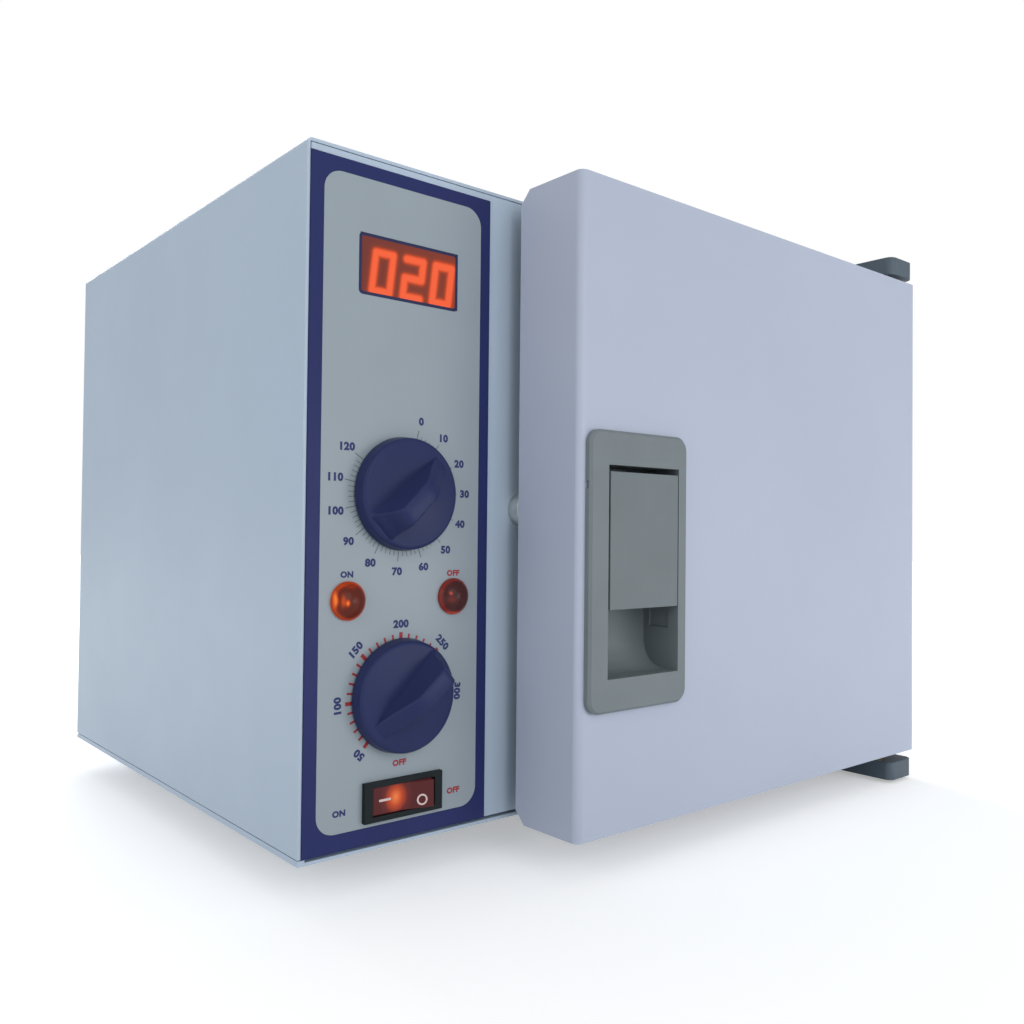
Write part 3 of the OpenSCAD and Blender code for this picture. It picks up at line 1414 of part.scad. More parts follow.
module latch_paddle() color(grey) place() difference() {
    union() {
        block([paddle_l, paddle_front, latch_z - paddle_down], [paddle_rt, paddle_back, latch_z + paddle_up]);
        block([paddle_l, paddle_back - eps, latch_z - paddle_down],
              [paddle_rt, paddle_back + 4, latch_z - paddle_down + paddle_t]);
        for (x = [paddle_l, paddle_rt - lug_w]) {
            rod_x(latch_y, latch_z, x, x + lug_w, lug_r);
            block([x, paddle_back - eps, latch_z - lug_r], [x + lug_w, latch_y, latch_z + lug_r]);
        }
    }
    rod_x(latch_y, latch_z, paddle_l - 1, paddle_rt + 1, latch_d / 2 + fit_press);
}

claw_top = striker_z - striker_neck / 2 - 0.3;
claw_back = striker_head_y + 5;
claw_front = striker_head_y + 1.4;

module latch_claw() color("silver") place() difference() {
    union() {
        rod_x(latch_y, latch_z, claw_x, claw_x + claw_w, lug_r);
        along_x(claw_x, claw_x + claw_w)
            polygon([[latch_y - 3, latch_z - 2], [latch_y + 3.4, latch_z - 0.5],
                     [striker_head_y - striker_head_t - 2, striker_z - striker_head / 2 - 2],
                     [claw_front, striker_z - striker_head / 2 - 2], [claw_front, claw_top], [claw_back, claw_top],
                     [claw_back, striker_z - striker_head / 2 - 4.5],
                     [latch_y + 10, striker_z - striker_head / 2 - 5]]);
    }
    rod_x(latch_y, latch_z, claw_x - 1, claw_x + claw_w + 1, latch_d / 2 + fit_press);
}

// Coil round the latch shaft, as one unbroken tube, with its two ends reaching up and back
spring_steps = 8;
spring_ring = 6;
function coil_point(a) = [
    spring_l + spring_len * a / (360 * spring_turns),
    latch_y + spring_r * sin(a),
    latch_z + spring_r * cos(a)
];
coil_points = [for (i = [0 : spring_turns * spring_steps]) coil_point(i * 360 / spring_steps)];
spring_points = concat(
    [coil_points[0] + [0, 5.4, 0], coil_points[0] + [0, 2, 0]],
    coil_points,
    [coil_points[len(coil_points) - 1] + [0, -0.2, 4], coil_points[len(coil_points) - 1] + [0, -0.2, 6]]
);

// Sweeps a thin tube of flat sides along the points
module swept_tube(points, r, sides) {
    n = len(points);
    rings = [for (i = [0 : n - 1]) let (
        t = points[min(i + 1, n - 1)] - points[max(i - 1, 0)],
        u = t / norm(t),
        side = cross(u, [1, 0.02, 0.03]),
        v = side / norm(side),
        w = cross(u, v)
    ) for (k = [0 : sides - 1]) points[i] + r * (cos(k * 360 / sides) * v + sin(k * 360 / sides) * w)];
    polyhedron(
        points = rings,
        faces = concat(
            [[for (k = [0 : sides - 1]) k]],
            [[for (k = [sides - 1 : -1 : 0]) (n - 1) * sides + k]],
            [for (i = [0 : n - 2], k = [0 : sides - 1])
                [i * sides + k, (i + 1) * sides + k, (i + 1) * sides + (k + 1) % sides]],
            [for (i = [0 : n - 2], k = [0 : sides - 1])
                [i * sides + k, (i + 1) * sides + (k + 1) % sides, i * sides + (k + 1) % sides]]
        )
    );
}

module latch_spring() color("silver") place() swept_tube(spring_points, spring_wire, spring_ring);

outer_cover();
base_tray();
back_panel();
front_fascia();
overlay_border();
overlay_field();
partition_plate();
chamber_liner();
insulation_slabs();
heater_tube();
heater_glands();
heater_guard();
tray_racks();
rack_studs();
tray_lower();
tray_upper();
thermostat_body();
thermostat_capillary();
bulb_clips();
display_probe();
thermal_cutout();
timer_body();
control_screws();
lamp_lens_left();
lamp_lens_right();
lamp_bodies();
display_window();
display_module();
display_board();
rocker_housing();
inlet_socket();
inlet_pins();
fuse_holder();
terminal_block();
wiring();
back_screws();
feet();
foot_screws();
hinge_bracket_top();
hinge_bracket_bottom();
bracket_screws();
hinge_pins();
striker();
door_outer();
door_inner_panel();
door_insulation();
door_gasket();
door_screws();
door_bushes();
latch_bezel();
latch_spring();
latch_paddle();
latch_shaft();
latch_claw();
rocker_button();
timer_knob();
timer_shaft();
thermostat_knob();
thermostat_shaft();
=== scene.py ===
import math

import bmesh
import bpy
from mathutils import Matrix, Vector
from mathutils.bvhtree import BVHTree


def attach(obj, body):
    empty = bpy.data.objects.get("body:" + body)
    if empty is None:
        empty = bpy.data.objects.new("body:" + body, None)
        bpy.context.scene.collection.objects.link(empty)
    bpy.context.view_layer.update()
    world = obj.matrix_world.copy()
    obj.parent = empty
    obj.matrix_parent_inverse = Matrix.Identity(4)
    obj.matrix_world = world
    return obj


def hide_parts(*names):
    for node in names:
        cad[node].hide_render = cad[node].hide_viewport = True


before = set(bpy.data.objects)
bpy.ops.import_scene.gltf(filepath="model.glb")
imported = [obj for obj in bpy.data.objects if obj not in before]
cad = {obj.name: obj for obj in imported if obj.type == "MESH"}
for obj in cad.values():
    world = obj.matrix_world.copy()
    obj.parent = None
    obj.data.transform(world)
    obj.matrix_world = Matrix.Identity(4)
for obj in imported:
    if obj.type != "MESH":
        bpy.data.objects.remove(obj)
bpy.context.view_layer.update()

print("stage: frame loaded with", len(cad), "nodes")

mm = 0.001
bodyCorner = Vector((-0.1675, -0.1063, 0.015))  # the body's front left bottom corner


def at(x, y, z):  # millimetres from that corner: X right, Y back, Z up
    return bodyCorner + Vector((x, y, z)) * mm


def tone(r, g, b):  # a colour as it is seen, 0 to 255, as light
    def light(c):
        c = c / 255
        return c / 12.92 if c <= 0.04045 else ((c + 0.055) / 1.055) ** 2.4

    return (light(r), light(g), light(b), 1)


def shaded(colour, share):
    return tuple(min(1, c * share) for c in colour[:3]) + (1,)


# Finishes. Patches and grain are in repeats per metre, depths in millimetres.
finishes = {
    "bodyPaint": dict(colour=(168, 184, 201), spread=0.02, patch=14, rough=0.46, grain=900, depth=0.012, gloss=0.35),
    # The door takes the body's paint made a little darker: painted shade for the door's narrow left side
    "doorPaintShaded": dict(colour=(168, 177, 195), spread=0.018, patch=11, rough=0.44, grain=900, depth=0.012, gloss=0.35),
    "bracketEnamel": dict(colour=(80, 92, 102), spread=0.05, patch=60, rough=0.45, grain=1300, depth=0.02, gloss=0.15),
    "darkScrews": dict(colour=(66, 72, 80), spread=0.12, patch=300, rough=0.35, metallic=0.8, grain=2500, depth=0.01),
    "strikerSteel": dict(colour=(196, 200, 199), spread=0.1, patch=200, rough=0.34, metallic=0.8, grain=2000,
                         depth=0.01, stretch=(1, 6, 1)),
    "zincScrews": dict(colour=(176, 178, 182), spread=0.1, patch=260, rough=0.32, metallic=1, grain=2600, depth=0.01),
    "stainless": dict(colour=(178, 178, 180), spread=0.07, patch=40, rough=0.3, metallic=1, grain=500, depth=0.01,
                      stretch=(1, 1, 14)),
    "trayAluminium": dict(colour=(190, 192, 195), spread=0.06, patch=50, rough=0.38, metallic=1, grain=700, depth=0.012,
                          stretch=(1, 12, 1)),
    "heaterSheath": dict(colour=(92, 88, 84), spread=0.2, patch=90, rough=0.5, metallic=0.7, grain=1500, depth=0.02),
    "brassFittings": dict(colour=(196, 164, 96), spread=0.1, patch=160, rough=0.3, metallic=1, grain=1800, depth=0.01),
    "copperTube": dict(colour=(190, 120, 86), spread=0.12, patch=120, rough=0.32, metallic=1, grain=1800, depth=0.01),
    "controlCase": dict(colour=(196, 194, 186), spread=0.04, patch=80, rough=0.5, grain=2200, depth=0.02),
    "knobNavy": dict(colour=(38, 46, 84), spread=0.05, patch=60, rough=0.36, grain=3200, depth=0.008, gloss=0.12),
    "blackPlastic": dict(colour=(28, 34, 37), spread=0.08, patch=90, rough=0.45, grain=2600, depth=0.02, gloss=0.1),
    # The paddle takes the latch grey made darker: painted shade for where it lies in the bezel's pocket
    "paddleShadedGrey": dict(colour=(102, 111, 115), spread=0.04, patch=50, rough=0.48, grain=2800, depth=0.025, gloss=0.3),
    "latchGrey": dict(colour=(108, 117, 121), spread=0.04, patch=50, rough=0.48, grain=2800, depth=0.025, gloss=0.3),
    "overlayNavy": dict(colour=(36, 44, 92), spread=0.04, patch=40, rough=0.4, grain=2400, depth=0.008, gloss=0.15),
    "overlaySilver": dict(colour=(141, 152, 160), spread=0.02, patch=30, rough=0.42, grain=4200, depth=0.008,
                          gloss=0.3),
    "boardGreen": dict(colour=(38, 92, 58), spread=0.18, patch=420, rough=0.38, grain=900, depth=0.02),
    "footRubber": dict(colour=(34, 35, 37), spread=0.14, patch=120, rough=0.72, grain=2200, depth=0.05, gloss=0.25),
    "silicone": dict(colour=(178, 172, 162), spread=0.05, patch=90, rough=0.6, grain=1800, depth=0.03, gloss=0.35),
    "wireBrown": dict(colour=(104, 66, 46), spread=0.08, patch=200, rough=0.5, grain=2000, depth=0.02),
    "wireBlue": dict(colour=(52, 88, 148), spread=0.08, patch=200, rough=0.5, grain=2000, depth=0.02),
    "wireBlack": dict(colour=(46, 48, 52), spread=0.1, patch=200, rough=0.5, grain=2000, depth=0.02),
    "wirePale": dict(colour=(206, 202, 192), spread=0.06, patch=200, rough=0.6, grain=2600, depth=0.03),
    "mineralWool": dict(colour=(206, 194, 152), spread=0.22, patch=260, rough=0.95, grain=1400, depth=0.5, gloss=0.1),
    "printNavy": dict(colour=(42, 50, 98), spread=0.08, patch=900, rough=0.5, grain=5000, depth=0.004, gloss=0.2),
    "printRed": dict(colour=(146, 50, 58), spread=0.08, patch=900, rough=0.5, grain=5000, depth=0.004, gloss=0.2),
    "printGrey": dict(colour=(100, 108, 112), spread=0.08, patch=900, rough=0.5, grain=5000, depth=0.004, gloss=0.2),
    "printDark": dict(colour=(36, 40, 74), spread=0.08, patch=900, rough=0.5, grain=5000, depth=0.004, gloss=0.2),
    "printPale": dict(colour=(206, 186, 184), spread=0.06, patch=900, rough=0.5, grain=5000, depth=0.004, gloss=0.2),
}


def newFinish(name):
    made = bpy.data.materials.new(name)
    made.use_nodes = True
    return made, made.node_tree, made.node_tree.nodes["Principled BSDF"]


def grainOn(tree, stretch):  # texture coordinates that stay with the piece
    place = tree.nodes.new("ShaderNodeTexCoord")
    scaled = tree.nodes.new("ShaderNodeMapping")
    scaled.inputs["Scale"].default_value = [1 / s for s in stretch]
    tree.links.new(place.outputs["Object"], scaled.inputs["Vector"])
    return scaled.outputs["Vector"]


def noiseOn(tree, vector, scale, detail):
    noise = tree.nodes.new("ShaderNodeTexNoise")
    noise.inputs["Scale"].default_value = scale
    noise.inputs["Detail"].default_value = detail
    tree.links.new(vector, noise.inputs["Vector"])
    return noise.outputs["Fac"]


def rampOn(tree, factor, stops):
    ramp = tree.nodes.new("ShaderNodeValToRGB")
    while len(ramp.color_ramp.elements) < len(stops):
        ramp.color_ramp.elements.new(0.5)
    for element, (where, colour) in zip(ramp.color_ramp.elements, stops):
        element.position = where
        element.color = colour
    tree.links.new(factor, ramp.inputs["Fac"])
    return ramp.outputs["Color"]


wear = {"dark": 0.3, "pale": 0.7, "smooth": 0.86, "dull": 1.14, "bump": 0.6}  # how a finish varies over a piece


def makeFinish(name, colour, spread, patch, rough, grain, depth, metallic=0, stretch=(1, 1, 1), gloss=0.5):
    made, tree, shader = newFinish(name)
    shader.inputs["Metallic"].default_value = metallic
    shader.inputs["Specular IOR Level"].default_value = gloss
    vector = grainOn(tree, stretch)
    seen = tone(*colour)
    patches = noiseOn(tree, vector, patch, 3)
    stops = [(wear["dark"], shaded(seen, 1 - spread)), (wear["pale"], shaded(seen, 1 + spread))]
    tree.links.new(rampOn(tree, patches, stops), shader.inputs["Base Color"])
    dullness = tree.nodes.new("ShaderNodeMapRange")
    dullness.inputs["To Min"].default_value = rough * wear["smooth"]
    dullness.inputs["To Max"].default_value = rough * wear["dull"]
    tree.links.new(noiseOn(tree, vector, patch * 3, 2), dullness.inputs["Value"])
    tree.links.new(dullness.outputs["Result"], shader.inputs["Roughness"])
    bump = tree.nodes.new("ShaderNodeBump")
    bump.inputs["Strength"].default_value = wear["bump"]
    bump.inputs["Distance"].default_value = depth * mm
    tree.links.new(noiseOn(tree, vector, grain, 2), bump.inputs["Height"])
    tree.links.new(bump.outputs["Normal"], shader.inputs["Normal"])
    return made


finish = {name: makeFinish(name, **settings) for name, settings in finishes.items()}


# Lit plastics: base is how much of the unlit share still shows as plain colour
lit = {"base": 0.7, "gloss": 0.15, "grain": 1500, "depth": 0.01}


# A lit plastic whose colour falls off from a middle point
def makeGlow(name, middle, reach, stops, share, rough):
    made, tree, shader = newFinish(name)
    place = tree.nodes.new("ShaderNodeTexCoord")
    moved = tree.nodes.new("ShaderNodeMapping")
    moved.inputs["Location"].default_value = [-m / r for m, r in zip(middle, reach)]
    moved.inputs["Scale"].default_value = [1 / r for r in reach]
    tree.links.new(place.outputs["Object"], moved.inputs["Vector"])
    ball = tree.nodes.new("ShaderNodeTexGradient")
    ball.gradient_type = "SPHERICAL"
    tree.links.new(moved.outputs["Vector"], ball.inputs["Vector"])
    lightStops(tree, shader, ball.outputs["Fac"], stops, share)
    finishGlow(tree, shader, rough)
    return made


# A lit plastic whose colour follows the number "glow" kept at each point of its mesh
def makeField(name, stops, share, rough):
    made, tree, shader = newFinish(name)
    level = tree.nodes.new("ShaderNodeAttribute")
    level.attribute_name = "glow"
    lightStops(tree, shader, level.outputs["Fac"], stops, share)
    finishGlow(tree, shader, rough)
    return made


def lightStops(tree, shader, factor, stops, share):  # share of the colour that comes from within
    seen = [(w, tone(*c)) for w, c in stops]
    base = [(w, shaded(c, (1 - share) * lit["base"])) for w, c in seen]
    tree.links.new(rampOn(tree, factor, base), shader.inputs["Base Color"])
    tree.links.new(rampOn(tree, factor, seen), shader.inputs["Emission Color"])
    shader.inputs["Emission Strength"].default_value = share


def finishGlow(tree, shader, rough):
    shader.inputs["Roughness"].default_value = rough
    shader.inputs["Specular IOR Level"].default_value = lit["gloss"]
    place = tree.nodes.new("ShaderNodeTexCoord")
    bump = tree.nodes.new("ShaderNodeBump")
    bump.inputs["Distance"].default_value = lit["depth"] * mm
    tree.links.new(noiseOn(tree, place.outputs["Object"], lit["grain"], 1), bump.inputs["Height"])
    tree.links.new(bump.outputs["Normal"], shader.inputs["Normal"])


def keepField(piece, level):  # level takes a point in millimetres from the body's corner
    values = [max(0, min(1, level((v.co - bodyCorner) / mm))) for v in piece.data.vertices]
    piece.data.attributes.new("glow", "FLOAT", "POINT").data.foreach_set("value", values)


print("stage: finishes made")

# Which finish each CAD piece takes, and the radius of its edges in millimetres
cadFinish = {
    "outer_cover": ("bodyPaint", 0.2), "base_tray": ("bodyPaint", 0.2), "back_panel": ("bodyPaint", 0.2),
    "front_fascia": ("bodyPaint", 0.7), "overlay_border": ("overlayNavy", 0), "overlay_field": ("overlaySilver", 0),
    "partition_plate": ("stainless", 0), "chamber_liner": ("stainless", 0.2), "insulation_slabs": ("mineralWool", 0),
    "heater_tube": ("heaterSheath", 0), "heater_glands": ("brassFittings", 0), "heater_guard": ("stainless", 0),
    "tray_racks": ("stainless", 0), "rack_studs": ("zincScrews", 0), "tray_lower": ("trayAluminium", 0.2),
    "tray_upper": ("trayAluminium", 0.2), "thermostat_body": ("controlCase", 0.5),
    "thermostat_capillary": ("copperTube", 0), "bulb_clips": ("stainless", 0), "display_probe": ("stainless", 0),
    "thermal_cutout": ("controlCase", 0.3), "timer_body": ("controlCase", 0.5), "control_screws": ("zincScrews", 0.2),
    "lamp_lens_left": ("latchGrey", 0), "lamp_lens_right": ("latchGrey", 0), "lamp_bodies": ("blackPlastic", 0.2),
    "display_window": ("blackPlastic", 0), "display_module": ("blackPlastic", 0.2),
    "display_board": ("boardGreen", 0), "rocker_housing": ("blackPlastic", 0.35), "inlet_socket": ("blackPlastic", 0.4),
    "inlet_pins": ("brassFittings", 0.2), "fuse_holder": ("blackPlastic", 0.4), "terminal_block": ("controlCase", 0.4),
    "wiring": ("wireBlack", 0), "back_screws": ("zincScrews", 0), "feet": ("footRubber", 0.5),
    "foot_screws": ("zincScrews", 0), "hinge_bracket_top": ("bracketEnamel", 0.5),
    "hinge_bracket_bottom": ("bracketEnamel", 0.5), "bracket_screws": ("darkScrews", 0),
    "hinge_pins": ("strikerSteel", 0.3), "striker": ("strikerSteel", 0.4), "door_outer": ("doorPaintShaded", 0.35),
    "door_inner_panel": ("stainless", 0.2), "door_insulation": ("mineralWool", 0), "door_gasket": ("silicone", 0),
    "door_screws": ("zincScrews", 0), "door_bushes": ("brassFittings", 0.2), "latch_bezel": ("latchGrey", 0.4),
    "latch_spring": ("zincScrews", 0), "latch_paddle": ("paddleShadedGrey", 0.5), "latch_shaft": ("strikerSteel", 0.2),
    "latch_claw": ("strikerSteel", 0.2), "rocker_button": ("blackPlastic", 0.4), "timer_knob": ("knobNavy", 0),
    "timer_shaft": ("strikerSteel", 0.2), "thermostat_knob": ("knobNavy", 0), "thermostat_shaft": ("strikerSteel", 0.2),
}


edges = {"weld": 0.002, "flat": 1, "sharp": 40}  # millimetres, and two angles in degrees


def edgesOn(piece, radius):
    weld = piece.modifiers.new("weld", "WELD")
    weld.merge_threshold = edges["weld"] * mm
    flat = piece.modifiers.new("flat", "DECIMATE")
    flat.decimate_type = "DISSOLVE"
    flat.angle_limit = math.radians(edges["flat"])
    edge = piece.modifiers.new("edge", "BEVEL")
    edge.width = radius * mm
    edge.segments = 2
    edge.limit_method = "ANGLE"
    edge.angle_limit = math.radians(edges["sharp"])
    edge.harden_normals = True


for node, (name, radius) in cadFinish.items():
    piece = cad[node]
    piece.data.materials.clear()
    piece.data.materials.append(finish[name])
    if radius:
        edgesOn(piece, radius)
print("stage: CAD pieces finished")


def meshOf(name, bm):
    mesh = bpy.data.meshes.new(name)
    bmesh.ops.recalc_face_normals(bm, faces=bm.faces)
    bm.to_mesh(mesh)
    bm.free()
    return mesh


def newPiece(name, bm, body, material, replaced=(), smooth=35):
    mesh = meshOf(name, bm)
    mesh.materials.append(material)
    mesh.polygons.foreach_set("use_smooth", [True] * len(mesh.polygons))
    mesh.set_sharp_from_angle(angle=math.radians(smooth))
    piece = bpy.data.objects.new(name, mesh)
    bpy.context.scene.collection.objects.link(piece)
    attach(piece, body)
    if replaced:
        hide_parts(*replaced)
    return piece


# Rings of points about an axis through the origin that runs along -Y, closed at both ends
def turned(bm, profile, steps=96, place=Matrix.Identity(4)):
    rings = []
    for radius, out in profile:
        if radius == 0:
            rings.append([bm.verts.new(place @ Vector((0, -out, 0)))])
            continue
        turns = [i * 2 * math.pi / steps for i in range(steps)]
        rings.append([bm.verts.new(place @ Vector((radius * math.sin(a), -out, radius * math.cos(a)))) for a in turns])
    for low, high in zip(rings, rings[1:]):
        for i in range(steps):
            j = (i + 1) % steps
            corners = [low[i % len(low)], low[j % len(low)], high[j % len(high)], high[i % len(high)]]
            bm.faces.new(dict.fromkeys(corners))


def arc(cx, cy, radius, start, end, steps):
    angles = [math.radians(start + (end - start) * i / steps) for i in range(steps + 1)]
    return [(cx + radius * math.cos(a), cy + radius * math.sin(a)) for a in angles]


def roundRect(x, z, wide, tall, radius, steps=6):
    corners = [(1, 1, 0), (-1, 1, 90), (-1, -1, 180), (1, -1, 270)]
    points = []
    for i, j, start in corners:
        points += arc(x + i * (wide / 2 - radius), z + j * (tall / 2 - radius), radius, start, start + 90, steps)
    return points


def joinRings(bm, rings, closed=False):  # closed joins the last ring to the first, else both ends get a face
    pairs = list(zip(rings, rings[1:])) + ([(rings[-1], rings[0])] if closed else [])
    for low, high in pairs:
        for i in range(len(low)):
            j = (i + 1) % len(low)
            bm.faces.new((low[i], low[j], high[j], high[i]))
    if not closed:
        bm.faces.new(rings[0])
        bm.faces.new(rings[-1])


bendShare = 0.48  # of a straight run, the most that one bend takes


# A path in millimetres whose corners are rounded off
def softPath(points, bend, steps=6):
    path = [Vector(points[0])]
    for before, corner, after in zip(points, points[1:], points[2:]):
        before, corner, after = Vector(before), Vector(corner), Vector(after)
        cut = min(bend, (before - corner).length * bendShare, (after - corner).length * bendShare)
        start = corner + (before - corner).normalized() * cut
        end = corner + (after - corner).normalized() * cut
        for i in range(steps + 1):
            t = i / steps
            path.append(start * (1 - t) ** 2 + corner * 2 * t * (1 - t) + end * t * t)
    return path + [Vector(points[-1])]


# A round tube along a path; off and twist wind it about that path, twist in radians per millimetre
def addTube(bm, path, radius, sides=10, off=0, twist=0, start=0):
    rings, side, gone = [], None, 0
    for i, point in enumerate(path):
        ahead = (path[min(i + 1, len(path) - 1)] - path[max(i - 1, 0)]).normalized()
        if side is None:
            side = ahead.orthogonal().normalized()
        side = (side - ahead * side.dot(ahead)).normalized()
        across = ahead.cross(side)
        gone += (point - path[i - 1]).length if i else 0
        turn = start + gone * twist
        middle = point + (side * math.cos(turn) + across * math.sin(turn)) * off
        angles = [k * 2 * math.pi / sides for k in range(sides)]
        ring = [middle + (side * math.cos(a) + across * math.sin(a)) * radius for a in angles]
        rings.append([bm.verts.new(at(*p)) for p in ring])
    joinRings(bm, rings)


# Knobs: side is the grip's outline from its thin end to its pointing end, as places along it and heights over the
# skirt; face is the skirt's shallow dome, as places out from the middle and heights over the skirt
knobs = {
    "radius": 20.5, "skirt": 5.6, "rim": 1.6, "grip": 11.4, "wide": 6.4, "thin": 2.6, "top": 3.8, "tip": 3.4,
    "back": -1.1, "reach": 18.7, "round": 1.1,
    "side": [(-17, 0), (-14.6, 1.9), (-12, 3.9), (-9.4, 5.9), (-7, 7.8), (-5, 9.3), (-3.4, 10.4), (-2, 11),
             (-0.4, 11.32), (1.5, 11.4), (6, 11.4), (10.4, 11.4), (11.6, 11.25), (12.6, 10.8), (13.4, 9.9),
             (14.4, 7.6), (15.6, 4.6), (16.8, 2), (18, 0.2)],
    "face": [(16.5, 0.2), (12.3, 0.7), (6.15, 1.05), (0, 1.15)],
    "timer": dict(x=39.6, z=125.5, points=226, node="timer_knob", body="timer_dial"),
    "thermostat": dict(x=39.6, z=53.3, points=49, node="thermostat_knob", body="thermostat_dial"),
}


def knobGrip(bm, place):
    skirt, radius = knobs["skirt"], knobs["radius"]
    rows = []
    for s, tall in knobs["side"]:
        along = (s + radius) / (2 * radius)
        limit = math.sqrt(max(knobs["reach"] ** 2 - s * s, 0.2))
        foot = min(knobs["thin"] + (knobs["wide"] - knobs["thin"]) * along, limit)
        full = min(knobs["tip"] + (knobs["top"] - knobs["tip"]) * along, limit)
        head = foot + (full - foot) * tall / knobs["grip"]
        r = min(knobs["round"], tall * 0.5 + 0.05)
        across = [(-foot - 0.5, -1), (-foot - 0.35, 0.06), (-foot, min(0.5, tall * 0.4 + 0.08)), (-head, tall - r)]
        across += [(-head + r - r * math.cos(a), tall - r + r * math.sin(a)) for a in (0.35, 0.7, 1.05, 1.4)]
        across += [(-u, v) for u, v in reversed(across)]
        rows.append([bm.verts.new(place @ Vector((u, -skirt - v, s))) for u, v in across])
    joinRings(bm, rows)


def makeKnob(name, x, z, points, node, body):
    place = Matrix.Translation(at(x, knobs["back"], z)) @ Matrix.Rotation(math.radians(points), 4, "Y")
    place = place @ Matrix.Scale(mm, 4)
    r, t, rim = knobs["radius"], knobs["skirt"], knobs["rim"]
    profile = [(0, 0), (r - 0.4, 0), (r, 0.4), (r - 0.3, t * 0.4)] + arc(r - 0.5 - rim, t - rim, rim, 0, 90, 8)
    profile += [(out, t + up) for out, up in knobs["face"]]
    bm = bmesh.new()
    turned(bm, profile, place=place)
    knobGrip(bm, place)
    newPiece(name + "Knob", bm, body, finish["knobNavy"], [node], 40)


for name in ("timer", "thermostat"):
    makeKnob(name, **knobs[name])
print("stage: knobs made")

# Prints on the overlay: they stand out from its face and are sunk a little into it
prints = {"face": -0.5, "out": 0.04, "sunk": 0.01, "bold": 0.056, "wide": 1.1, "gap": 1.08}


def addWord(bm, text, x, z, tall, turn=0):
    curve = bpy.data.curves.new("word", "FONT")
    curve.body = text
    curve.offset = prints["bold"]
    curve.space_character = prints["gap"]
    curve.extrude = 0.5
    curve.resolution_u = 3
    word = bpy.data.objects.new("word", curve)
    bpy.context.scene.collection.objects.link(word)
    bpy.context.view_layer.update()
    mesh = bpy.data.meshes.new_from_object(word.evaluated_get(bpy.context.evaluated_depsgraph_get()))
    xs = [v.co.x for v in mesh.vertices]
    ys = [v.co.y for v in mesh.vertices]
    k = tall / (max(ys) - min(ys))
    midX, midY = (max(xs) + min(xs)) / 2, (max(ys) + min(ys)) / 2
    c, s = math.cos(math.radians(turn)), math.sin(math.radians(turn))
    for v in mesh.vertices:
        up = (v.co.y - midY) * k
        right = (v.co.x - midX) * k * prints["wide"]
        y = prints["face"] - (prints["out"] if v.co.z > 0 else -prints["sunk"])
        v.co = at(x + right * c + up * s, y, z - right * s + up * c)
    bm.from_mesh(mesh)
    bpy.data.objects.remove(word)
    bpy.data.curves.remove(curve)
    bpy.data.meshes.remove(mesh)


def addTick(bm, x, z, angle, inner, outer, thick):
    c, s = math.cos(math.radians(angle)), math.sin(math.radians(angle))
    rings = []
    for y in (prints["face"] + prints["sunk"], prints["face"] - prints["out"]):
        ring = []
        for along, side in ((inner, -1), (outer, -1), (outer, 1), (inner, 1)):
            right = along * s + side * thick / 2 * c
            up = along * c - side * thick / 2 * s
            ring.append(bm.verts.new(at(x + right, y, z + up)))
        rings.append(ring)
    joinRings(bm, rings)


# Dial scales: angles clockwise from the top, radii and thicknesses in millimetres
scales = {
    "timer": dict(x=39.6, z=125.5, first=16, step=24.05, labels=range(0, 121, 10), labelR=27.9, upright=True,
                  inner=19.5, longR=24.3, longThick=0.34, shortR=22.5, shortThick=0.26, marks="printGrey"),
    "thermostat": dict(x=39.5, z=53.3, first=-138.75, step=46.25, labels=range(50, 301, 50), labelR=25.5, upright=False,
                       inner=19, longR=22.5, longThick=1.4, shortR=22, shortThick=0.8, marks="printRed"),
}
scaleTall, minors = 3, 4  # the height of the numbers, and the short marks between two of them


def makeScale(name, x, z, first, step, labels, labelR, upright, inner, longR, longThick, shortR, shortThick, marks):
    words, ticks = bmesh.new(), bmesh.new()
    for i, value in enumerate(labels):
        angle = first + i * step
        a = math.radians(angle)
        right, up = labelR * math.sin(a), labelR * math.cos(a)
        addWord(words, str(value), x + right, z + up, scaleTall, 0 if upright else angle)
        addTick(ticks, x, z, angle, inner, longR, longThick)
        if value != labels[-1]:
            for j in range(minors):
                addTick(ticks, x, z, angle + (j + 1) * step / (minors + 1), inner, shortR, shortThick)
    newPiece(name + "Numbers", words, "casing", finish["printNavy"])
    newPiece(name + "Marks", ticks, "casing", finish[marks])


for name, settings in scales.items():
    makeScale(name, **settings)

# Words by the dial, the lamps and the rocker: text, place and height
switchWords = {
    "thermostatOff": ("printRed", [("OFF", 39.5, 29.2, 2.28)]),
    "navySwitchWords": ("printNavy", [("ON", 17, 97, 2.3), ("ON", 15.1, 15.3, 2.3)]),
    "redSwitchWords": ("printRed", [("OFF", 62.5, 96.6, 2.3), ("OFF", 63.6, 15.3, 2.3)]),
}
for name, (look, words) in switchWords.items():
    bm = bmesh.new()
    for text, x, z, tall in words:
        addWord(bm, text, x, z, tall)
    newPiece(name, bm, "casing", finish[look])
print("stage: prints made")

# Display: the printed outline and the lit window. Its digits are light, with spread and fade for their soft edges
display = {
    "x": 41.6, "z": 206, "wide": 42.8, "tall": 21.8, "rim": 1.1, "round": 1.6, "cell": 0.27,
    "digits": "020", "places": (29.9, 42.9, 55.8), "digitZ": 204, "digitTall": 16.2, "digitWide": 9.7, "bar": 2.4,
    "lean": 0.12, "spread": 1.48, "fade": 4, "across": 0.14, "front": -0.57, "back": -0.45, "glass": -0.53, "lap": 0.2,
    "fold": 0.1, "innerRound": 0.9, "share": 0.7, "rough": 0.35,
    "colours": [(0, (116, 56, 50)), (0.2, (142, 62, 44)), (0.5, (206, 76, 42)), (0.85, (250, 96, 54)),
                (1, (255, 104, 62))],
}
segments = {"0": "abcdef", "2": "abged"}


